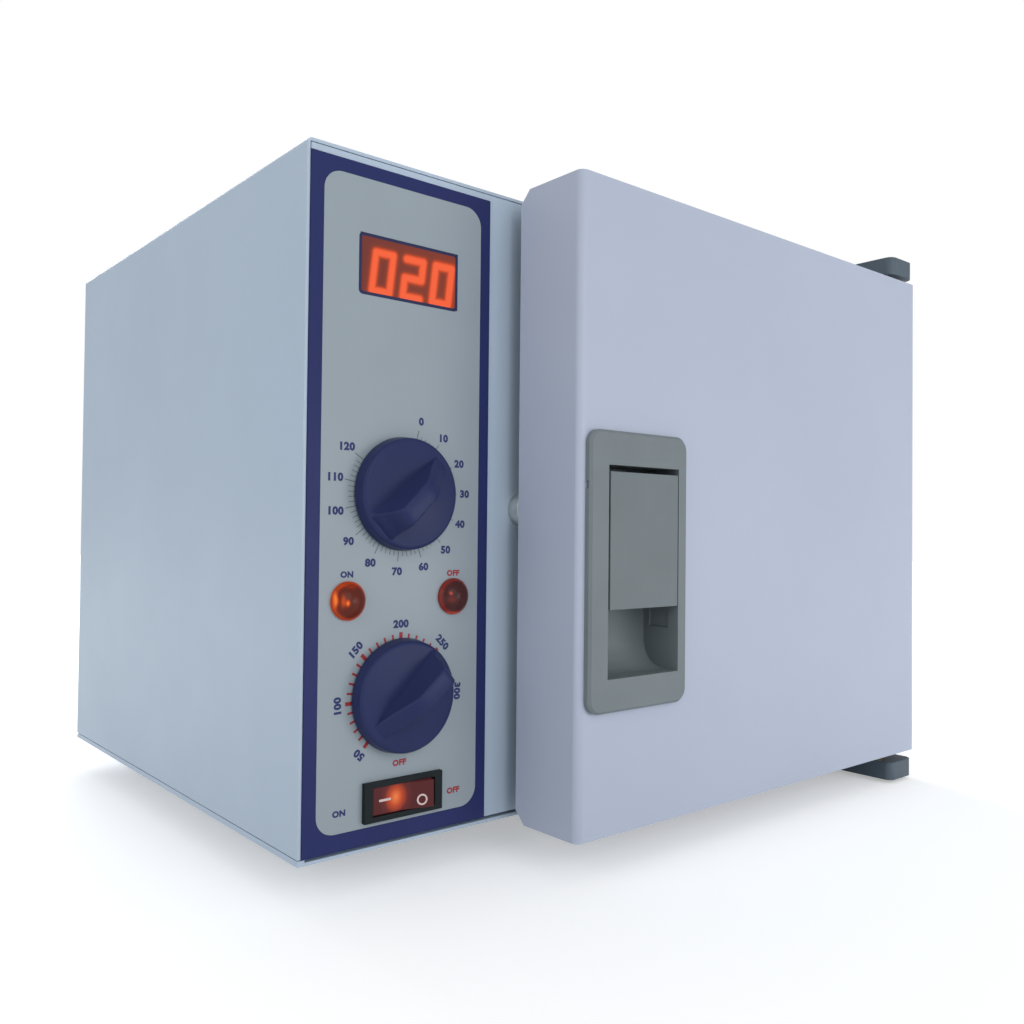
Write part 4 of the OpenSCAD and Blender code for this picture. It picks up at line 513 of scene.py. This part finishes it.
def digitBars(text):
    w = (display["digitWide"] - display["bar"]) / 2
    h = (display["digitTall"] - display["bar"]) / 2
    ends = {"a": (-w, h, w, h), "b": (w, 0, w, h), "c": (w, -h, w, 0), "d": (-w, -h, w, -h), "e": (-w, -h, -w, 0),
            "f": (-w, 0, -w, h), "g": (-w, 0, w, 0)}
    return [ends[key] for key in segments[text]]


def windowLevel(point):  # how near a point of the window is to a lit bar
    best = display["wide"]
    for text, x in zip(display["digits"], display["places"]):
        v = point.z - display["digitZ"]
        u = point.x - x - v * display["lean"]
        for u0, v0, u1, v1 in digitBars(text):
            du, dv = u1 - u0, v1 - v0
            t = max(0, min(1, ((u - u0) * du + (v - v0) * dv) / (du * du + dv * dv)))
            best = min(best, math.hypot(u - u0 - t * du, v - v0 - t * dv))
    across = (point.x - display["x"]) / display["wide"] + 0.5
    return display["across"] * across + 1 / (1 + (best / display["spread"]) ** display["fade"])


def makeDisplay():
    x, z, rim, cell = display["x"], display["z"], display["rim"], display["cell"]
    innerWide, innerTall = display["wide"] - 2 * rim, display["tall"] - 2 * rim
    wide, tall = innerWide + display["lap"], innerTall + display["lap"]
    bm = bmesh.new()
    bmesh.ops.create_grid(bm, x_segments=int(wide / cell), y_segments=int(tall / cell), size=0.5)
    for v in bm.verts:
        v.co = at(x + v.co.x * wide, display["glass"], z + v.co.y * tall)
    edge = [e for e in bm.edges if e.is_boundary]
    deeper = bmesh.ops.extrude_edge_only(bm, edges=edge)
    for v in deeper["geom"]:
        if isinstance(v, bmesh.types.BMVert):
            v.co.y += display["fold"] * mm
    glow = makeField("windowLit", display["colours"], display["share"], display["rough"])
    window = newPiece("displayGlow", bm, "casing", glow)
    keepField(window, windowLevel)
    bm = bmesh.new()
    outer = roundRect(x, z, display["wide"], display["tall"], display["round"])
    inner = roundRect(x, z, innerWide, innerTall, display["innerRound"])
    front, back = display["front"], display["back"]
    loops = [(inner, back), (inner, front), (outer, front), (outer, back)]
    joinRings(bm, [[bm.verts.new(at(px, y, pz)) for px, pz in loop] for loop, y in loops], True)
    newPiece("displayOutline", bm, "casing", finish["printDark"])


makeDisplay()

# Lamps: each spot is its place on the lens, its spread both ways and how bright it is. The rim's light grows from
# one share of the radius over another.
lamps = {
    "z": 87.9, "radius": 6.75, "tall": 3.6, "stem": 4.5, "deep": 1.7, "rimFrom": 0.8, "rimOver": 0.12,
    "share": 0.55, "rough": 0.28,
    # The left lens's last spot, a wide thin band across its top, is a painted reflection
    "left": dict(x=17.4, base=0.14, rim=0.32, spots=[(-5.7, 0.5, 0.6, 2.2, 0.85), (-3.7, 0.2, 0.8, 2.4, 0.5),
                 (-2.2, -0.5, 0.7, 1.1, 0.9), (0, 5, 3, 0.8, 0.25)],
                 colours=[(0, (70, 34, 26)), (0.3, (120, 44, 28)), (0.6, (200, 72, 18)), (1, (255, 128, 50))]),
    "right": dict(x=62.3, base=0.05, rim=0.3, spots=[(-3.4, 1.4, 0.6, 0.7, 0.75), (-3, -1, 1.4, 1.1, 0.3),
                  (-0.5, -6, 3.4, 0.6, 0.3)],
                  colours=[(0, (56, 34, 34)), (0.3, (110, 42, 40)), (0.6, (176, 62, 44)), (1, (242, 108, 50))]),
}


def makeLamp(name, x, base, rim, spots, colours):
    r, tall, z = lamps["radius"], lamps["tall"], lamps["z"]
    ball = (r * r + tall * tall) / (2 * tall)
    opening = math.degrees(math.asin(r / ball))
    dome = [(u, 1 + tall + v) for u, v in arc(0, -ball, ball, 90 - opening, 90, 30)]
    stem, deep = lamps["stem"], lamps["deep"]
    profile = [(0, -deep), (stem, -deep), (stem, 0), (r - 0.15, 0), (r, 0.15)] + dome[:-1] + [(0, dome[-1][1])]
    bm = bmesh.new()
    turned(bm, profile, 72, Matrix.Translation(at(x, -0.5, z)) @ Matrix.Scale(mm, 4))
    glow = makeField(name + "LampGlow", colours, lamps["share"], lamps["rough"])

    def level(point):
        u, v = point.x - x, point.z - z
        far = math.hypot(u, v) / r
        bright = base + rim * max(0, min(1, (far - lamps["rimFrom"]) / lamps["rimOver"]))
        for su, sv, wu, wv, much in spots:
            bright += much * math.exp(-(((u - su) / wu) ** 2) - ((v - sv) / wv) ** 2)
        return bright

    lens = newPiece(name + "LampLens", bm, "casing", glow, ["lamp_lens_" + name], 40)
    keepField(lens, level)


makeLamp("left", **lamps["left"])
makeLamp("right", **lamps["right"])

# Rocker: a neon glow in the red button, and its two marks standing on its tilted face
rocker = {
    "glow": (37.4, -2, 17.4), "reach": (0.0068, 0.02, 0.008), "dash": (32.9, 17.2, 4.9, 0.85),
    "ring": (47.4, 15.3, 2, 1.4), "out": 0.12, "sunk": 0.05, "share": 0.55, "rough": 0.35,
    "colours": [(0, (88, 38, 40)), (0.3, (108, 44, 42)), (0.62, (200, 78, 44)), (1, (255, 136, 76))],
}
rockerLight = makeGlow(
    "rockerGlow", at(*rocker["glow"]), rocker["reach"], rocker["colours"], rocker["share"], rocker["rough"])
cad["rocker_button"].data.materials[0] = rockerLight


def onFace(node, x, z):  # a place on the node's front, with its Y axis out of the surface
    tree = BVHTree.FromPolygons([v.co for v in cad[node].data.vertices], [p.vertices for p in cad[node].data.polygons])
    point, normal, _, _ = tree.ray_cast(at(x, -60, z), Vector((0, 1, 0)))
    back = -normal
    right = Vector((0, 0, 1)).cross(back) * -1
    right.normalize()
    up = right.cross(back)
    return Matrix.Translation(point) @ Matrix((right, back, up)).transposed().to_4x4() @ Matrix.Scale(mm, 4)


def addMark(bm, place, outer, inner=None):
    out, sunk = rocker["out"], rocker["sunk"]
    loops = [(outer, sunk), (outer, -out)] + ([(inner, -out), (inner, sunk)] if inner else [])
    rings = [[bm.verts.new(place @ Vector((u, y, v))) for u, v in loop] for loop, y in loops]
    joinRings(bm, rings, bool(inner))


bm = bmesh.new()
x, z, long, thick = rocker["dash"]
addMark(bm, onFace("rocker_button", x, z), roundRect(0, 0, long, thick, thick * 0.3, 3))
x, z, outerR, innerR = rocker["ring"]
addMark(bm, onFace("rocker_button", x, z), arc(0, 0, outerR, 0, 352, 44), arc(0, 0, innerR, 0, 352, 44))
newPiece("rockerMarks", bm, "rocker", finish["printPale"])
print("stage: display, lamps and rocker made")

# Cross head screws in place of the plain ones: the head's and the shank's sizes are shares of the head's radius, with
# a largest size in millimetres, and the cross's are shares of the radius and of the head's height
screwShape = {
    "head": 0.62, "headMost": 2.2, "shank": 0.5, "shankMost": 1.9, "edge": 0.35, "point": 0.7, "deep": 0.75,
    "arm": 0.55, "thick": 0.13, "armFoot": 0.35, "thickFoot": 0.6, "turn": 1.9,
}
# out is the axis and sense in which the head faces
screws = {
    "back_screws": dict(out=(0, 1, 0), slotName="zinc_screws", look="zincScrews", body="casing"),
    "door_screws": dict(out=(0, 1, 0), slotName="zinc_screws", look="zincScrews", body="door"),
    "foot_screws": dict(out=(0, 0, -1), slotName="zinc_screws", look="zincScrews", body="casing"),
}


def islands(mesh):  # the boxes of a mesh's separate bodies, in the order of their places
    bm = bmesh.new()
    bm.from_mesh(mesh)
    bmesh.ops.remove_doubles(bm, verts=bm.verts, dist=edges["weld"] * mm)
    left, boxes = set(bm.verts), []
    while left:
        edge, found = [left.pop()], []
        while edge:
            v = edge.pop()
            found.append(v.co.copy())
            for e in v.link_edges:
                other = e.other_vert(v)
                if other in left:
                    left.remove(other)
                    edge.append(other)
        boxes.append([Vector([f(p[i] for p in found) for i in range(3)]) for f in (min, max)])
    bm.free()
    return sorted(boxes, key=lambda box: [round(c / mm) for c in box[0]])


def crossHead(radius, height, shank, length):  # one screw, head up along -Y from its seat at the origin
    bm = bmesh.new()
    edge, point = screwShape["edge"], -length + shank * screwShape["point"]
    profile = [(0, -length), (shank * 0.5, -length), (shank, point), (shank, 0), (radius, 0)]
    for a in (0, 0.3, 0.6, 0.9, 1.2, 1.4):
        profile.append((radius * math.cos(a), height * (edge + (1 - edge) * math.sin(a))))
    turned(bm, profile + [(0, height)], 40)
    cutter = bmesh.new()
    deep, arm, thick = height * screwShape["deep"], radius * screwShape["arm"], radius * screwShape["thick"]
    foot = (-height + deep, arm * screwShape["armFoot"], thick * screwShape["thickFoot"])
    for turn in (0, 90):
        c, s = math.cos(math.radians(turn)), math.sin(math.radians(turn))
        rings = []
        for y, a, t in ((-height - 1, arm, thick), foot):
            flat = [(-a, -t), (a, -t), (a, t), (-a, t)]
            rings.append([cutter.verts.new((u * c - v * s, y, u * s + v * c)) for u, v in flat])
        joinRings(cutter, rings)
    screw = bpy.data.objects.new("screw", meshOf("screw", bm))
    cross = bpy.data.objects.new("cross", meshOf("cross", cutter))
    for piece in (screw, cross):
        bpy.context.scene.collection.objects.link(piece)
    cut = screw.modifiers.new("cut", "BOOLEAN")
    cut.operation = "DIFFERENCE"
    cut.solver = "EXACT"
    cut.use_self = True
    cut.object = cross
    bpy.context.view_layer.update()
    made = bpy.data.meshes.new_from_object(screw.evaluated_get(bpy.context.evaluated_depsgraph_get()))
    for piece in (screw, cross):
        bpy.data.objects.remove(piece)
    return made


def makeScrews(node, out, slotName, look, body):
    out = Vector(out)
    axis = [i for i in range(3) if out[i]][0]
    bm, made = bmesh.new(), {}
    for i, (low, high) in enumerate(islands(cad[node].data)):
        middle = (low + high) / 2
        sides = [k for k in range(3) if k != axis]
        radius = (high[sides[0]] - low[sides[0]]) / 2 / mm
        length = (high[axis] - low[axis]) / mm
        head = min(radius * screwShape["head"], screwShape["headMost"])
        shank = min(radius * screwShape["shank"], screwShape["shankMost"])
        size = (round(radius, 2), round(length, 1))
        if size not in made:
            made[size] = crossHead(radius, head, shank, length - head)
        seat = middle.copy()
        seat[axis] = (high if out[axis] > 0 else low)[axis] - out[axis] * head * mm
        turn = out.to_track_quat("-Y", "Z").to_matrix().to_4x4()
        turn = turn @ Matrix.Rotation(i * screwShape["turn"], 4, "Y")
        place = Matrix.Translation(seat) @ turn @ Matrix.Scale(mm, 4)
        copy = made[size].copy()
        copy.transform(place)
        bm.from_mesh(copy)
        bpy.data.meshes.remove(copy)
    newPiece(node.replace("_s", "S"), bm, body, finish[look], [node], 30)


for node, settings in screws.items():
    makeScrews(node, **settings)
print("stage: screws made")

# Mineral wool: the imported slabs, with their cut corners worn round and their faces fluffed inwards
wool = {"voxel": 2.6, "fluff": 1.5, "lumps": 9, "smooths": 2}


def makeWool(node, body):
    source = cad[node]
    copy = bpy.data.objects.new("wool", source.data.copy())
    bpy.context.scene.collection.objects.link(copy)
    lumps = bpy.data.textures.new(node + "Lumps", "CLOUDS")
    lumps.noise_scale = wool["lumps"] * mm
    remesh = copy.modifiers.new("remesh", "REMESH")
    remesh.mode = "VOXEL"
    remesh.voxel_size = wool["voxel"] * mm
    soft = copy.modifiers.new("soft", "SMOOTH")
    soft.iterations = wool["smooths"]
    fluff = copy.modifiers.new("fluff", "DISPLACE")
    fluff.texture = lumps
    fluff.strength = wool["fluff"] * mm
    fluff.mid_level = 1
    bpy.context.view_layer.update()
    mesh = bpy.data.meshes.new_from_object(copy.evaluated_get(bpy.context.evaluated_depsgraph_get()))
    bpy.data.objects.remove(copy)
    bm = bmesh.new()
    bm.from_mesh(mesh)
    newPiece(node.replace("_i", "I").replace("_s", "S"), bm, body, finish["mineralWool"], [node], 80)


makeWool("insulation_slabs", "casing")
makeWool("door_insulation", "door")
print("stage: wool made")

# Door seal: a foot and a bulb, seen in section as distances outwards and towards the body. The bulb's arc starts at
# the angle from and turns by sweep, in degrees.
seal = {
    "x": 211.8, "z": 122.5, "side": 203, "corner": 9.1, "door": -7.4, "wide": 3.5, "tall": 3.1, "middle": 3.9,
    "from": -25, "sweep": 230, "steps": 14,
    "right": [(-4.4, 0), (4.4, 0), (4.4, 1.3), (4.1, 1.6), (3.4, 1.8)], "left": [(-3.4, 1.8), (-4.1, 1.6), (-4.4, 1.3)],
}


def makeSeal():
    bulb = []
    for i in range(seal["steps"] + 1):
        a = math.radians(seal["from"] + seal["sweep"] * i / seal["steps"])
        bulb.append((seal["wide"] * math.cos(a), seal["middle"] + seal["tall"] * math.sin(a)))
    bm = bmesh.new()
    rings = []
    for out, deep in seal["right"] + bulb + seal["left"]:
        side = seal["side"] + 2 * out
        loop = roundRect(seal["x"], seal["z"], side, side, seal["corner"] + out, 8)
        rings.append([bm.verts.new(at(x, seal["door"] + deep, z)) for x, z in loop])
    joinRings(bm, rings, True)
    newPiece("doorSeal", bm, "door", finish["silicone"], ["door_gasket"], 50)


makeSeal()

# Latch spring: a coil round the shaft with a leg at each end
spring = {
    "x": 108.7, "y": -37, "z": 124, "long": 13, "turns": 6, "round": 24, "radius": 2.85, "wire": 0.35,
    "startLeg": [(0, 5.4, 0), (0, 2, 0), (0, 0.8, 0)], "endLeg": [(0, -0.2, 2), (0, -0.2, 6)],
}


def makeSpring():
    steps, radius = spring["turns"] * spring["round"], spring["radius"]
    coil = []
    for i in range(steps + 1):
        a = i * 2 * math.pi / spring["round"]
        along = spring["x"] + spring["long"] * i / steps
        coil.append(Vector((along, spring["y"] + radius * math.sin(a), spring["z"] + radius * math.cos(a))))
    start = [coil[0] + Vector(leg) for leg in spring["startLeg"]]
    end = [coil[-1] + Vector(leg) for leg in spring["endLeg"]]
    bm = bmesh.new()
    addTube(bm, start + coil + end, spring["wire"], 8)
    newPiece("latchSpring", bm, "door", finish["zincScrews"], ["latch_spring"], 50)


makeSpring()

# Wiring: each lead is its finish, its radius and its route in millimetres. The mains lead is three cores twisted
# round each other.
wiring = {
    "bend": 7, "sleeve": 7, "sleeveR": 0.45, "coreR": 1.05, "coreOut": 1.22, "twist": 0.12, "step": 2,
    "mains": [(40, 225, 44), (40, 220, 44), (40, 220, 12), (40, 170, 12)],
    "leads": [
        ("wireBlack", 1.2, [(40, 223, 84), (40, 205, 84), (50, 205, 12), (50, 170, 12)]),
        ("wireBrown", 1.2, [(32.7, 150, 12), (32.7, 34, 12), (32.7, 34, 17.1), (32.7, 28, 17.1)]),
        ("wireBrown", 1.2, [(39.6, 150, 12), (39.6, 46, 12), (39.6, 46, 53.3), (39.6, 27.2, 53.3)]),
        ("wireBlack", 1.2, [(50, 150, 12), (50, 50, 12), (50, 50, 125.5), (50, 31.2, 125.5)]),
        ("wireBlue", 1.2, [(22, 150, 12), (22, 142, 12), (12, 132, 12), (12, 46, 12), (12, 46, 88), (17.6, 46, 88),
                           (17.6, 23.2, 88)]),
        ("wireBlue", 1.2, [(55, 150, 12), (55, 142, 12), (66, 132, 12), (66, 46, 12), (66, 46, 88), (61.6, 46, 88),
                           (61.6, 23.2, 88)]),
        ("wireBlue", 1.2, [(58, 156, 12), (70, 156, 12), (76, 146, 12), (76, 50, 12), (76, 50, 193.2),
                           (24.9, 50, 193.2), (24.9, 20.7, 193.2)]),
        ("wirePale", 1.2, [(58, 163, 12), (64, 163, 12), (66, 190, 12), (66, 239.6, 58), (150.5, 239.6, 58),
                           (150.5, 239.6, 40.5), (150.5, 237.6, 40.5)]),
        ("wirePale", 1.2, [(55, 170, 12), (55, 178, 12), (60, 200, 12), (60, 243.6, 62), (273.1, 243.6, 62),
                           (273.1, 243.6, 40.5), (273.1, 237.6, 40.5)]),
    ],
}


def makeWiring():
    cores = {name: bmesh.new() for name in ("wireBlack", "wireBrown", "wireBlue", "wirePale")}
    trunk = softPath(wiring["mains"], wiring["bend"], 10)
    fine = [trunk[0]]
    for a, b in zip(trunk, trunk[1:]):
        parts = max(1, int((b - a).length / wiring["step"]))
        fine += [a.lerp(b, (i + 1) / parts) for i in range(parts)]
    for i, name in enumerate(("wireBrown", "wireBlue", "wireBlack")):
        addTube(cores[name], fine, wiring["coreR"], 10, wiring["coreOut"], wiring["twist"], i * 2 * math.pi / 3)
    sleeves = bmesh.new()
    for name, radius, route in wiring["leads"]:
        addTube(cores[name], softPath(route, wiring["bend"]), radius, 10)
        for end, inward in ((Vector(route[0]), Vector(route[1])), (Vector(route[-1]), Vector(route[-2]))):
            long = min(wiring["sleeve"], (inward - end).length * 0.8)
            addTube(sleeves, [end, end + (inward - end).normalized() * long], radius + wiring["sleeveR"], 12)
    for i, (name, bm) in enumerate(cores.items()):
        newPiece(name + "Leads", bm, "casing", finish[name], ["wiring"] if i == 0 else (), 50)
    newPiece("leadSleeves", sleeves, "casing", finish["wirePale"], (), 50)


makeWiring()
print("stage: seal, spring and wiring made")

# Floor: it glows a little towards the camera, more with distance, as it runs out into white
ground = {"size": 8, "colour": (232, 234, 236), "rough": 0.9, "gloss": 0.1, "from": 0.3, "near": 0.36, "far": 0.95}


def makeFloor():
    bpy.ops.mesh.primitive_plane_add(size=ground["size"], location=(0, 0, 0))
    floor = bpy.context.object
    floor.name = "paleFloor"
    made, tree, shader = newFinish("paleFloor")
    shader.inputs["Base Color"].default_value = tone(*ground["colour"])
    shader.inputs["Roughness"].default_value = ground["rough"]
    shader.inputs["Specular IOR Level"].default_value = ground["gloss"]
    shader.inputs["Emission Color"].default_value = (1, 1, 1, 1)
    rays = tree.nodes.new("ShaderNodeLightPath")
    seen = tree.nodes.new("ShaderNodeMath")
    seen.operation = "MAXIMUM"
    tree.links.new(rays.outputs["Is Camera Ray"], seen.inputs[0])
    tree.links.new(rays.outputs["Is Glossy Ray"], seen.inputs[1])
    place = tree.nodes.new("ShaderNodeTexCoord")
    away = tree.nodes.new("ShaderNodeVectorMath")
    away.operation = "LENGTH"
    tree.links.new(place.outputs["Object"], away.inputs[0])
    white = tree.nodes.new("ShaderNodeMapRange")
    white.inputs["From Min"].default_value = ground["from"]
    white.inputs["To Min"].default_value = ground["near"]
    white.inputs["To Max"].default_value = ground["far"]
    tree.links.new(away.outputs["Value"], white.inputs["Value"])
    share = tree.nodes.new("ShaderNodeMath")
    share.operation = "MULTIPLY"
    tree.links.new(white.outputs["Result"], share.inputs[1])
    tree.links.new(seen.outputs[0], share.inputs[0])
    tree.links.new(share.outputs[0], shader.inputs["Emission Strength"])
    floor.data.materials.append(made)


makeFloor()

# Lights: places and sizes in metres, power in watts
lights = {
    "keyLight": dict(place=(-0.25, -1.9, 0.8), size=1.4, power=10.5, aim=(0, 0, 0.12)),
    "fillLight": dict(place=(-2.1, -0.5, 1.0), size=1.8, power=10.8, aim=(0, 0, 0.12)),
    "lowLight": dict(place=(0.35, -0.8, 0.04), size=0.4, power=1.7, aim=(0.1, -0.14, 0.02)),
    "backLight": dict(place=(0.3, 1.6, 1.1), size=1.2, power=19, aim=(0, 0, 0.12)),
}


def makeLight(name, place, size, power, aim):
    data = bpy.data.lights.new(name, "AREA")
    data.shape = "DISK"
    data.size = size
    data.energy = power
    light = bpy.data.objects.new(name, data)
    light.location = place
    light.rotation_euler = (Vector(aim) - Vector(place)).to_track_quat("-Z", "Y").to_euler()
    bpy.context.scene.collection.objects.link(light)


for name, settings in lights.items():
    makeLight(name, **settings)

# The room: white to the camera, dimmer as a light
room = {"shown": 1, "light": 0.6}


def makeRoom():
    world = bpy.data.worlds.new("paleRoom")
    bpy.context.scene.world = world
    world.use_nodes = True
    tree = world.node_tree
    sky = tree.nodes["Background"]
    sky.inputs["Color"].default_value = (1, 1, 1, 1)
    rays = tree.nodes.new("ShaderNodeLightPath")
    level = tree.nodes.new("ShaderNodeMapRange")
    level.inputs["To Min"].default_value = room["light"]
    level.inputs["To Max"].default_value = room["shown"]
    tree.links.new(rays.outputs["Is Camera Ray"], level.inputs["Value"])
    tree.links.new(level.outputs["Result"], sky.inputs["Strength"])


makeRoom()

# Camera: place and lens in millimetres, yaw from the back towards the right, pitch and roll in degrees
camera = {
    "place": (-149.09, -286.29, 112.84), "yaw": 40.05, "pitch": 1.11, "roll": 0.58, "lens": 33.155, "sensor": 36,
    "nearest": 0.01,
}


def makeCamera():
    data = bpy.data.cameras.new("photoCamera")
    data.lens = camera["lens"]
    data.sensor_width = camera["sensor"]
    data.clip_start = camera["nearest"]
    eye = bpy.data.objects.new("photoCamera", data)
    yaw, pitch, roll = (math.radians(camera[k]) for k in ("yaw", "pitch", "roll"))
    ahead = Vector((math.sin(yaw) * math.cos(pitch), math.cos(yaw) * math.cos(pitch), math.sin(pitch)))
    level = Vector((math.cos(yaw), -math.sin(yaw), 0))
    above = level.cross(ahead)
    right = math.cos(roll) * level + math.sin(roll) * above
    up = -math.sin(roll) * level + math.cos(roll) * above
    turn = Matrix((right, up, -ahead)).transposed().to_4x4()
    eye.matrix_world = Matrix.Translation(at(*camera["place"])) @ turn
    bpy.context.scene.collection.objects.link(eye)
    bpy.context.scene.camera = eye


makeCamera()
bpy.context.scene.view_settings.view_transform = "Standard"
print("stage: floor, light and camera set")

bpy.context.view_layer.update()
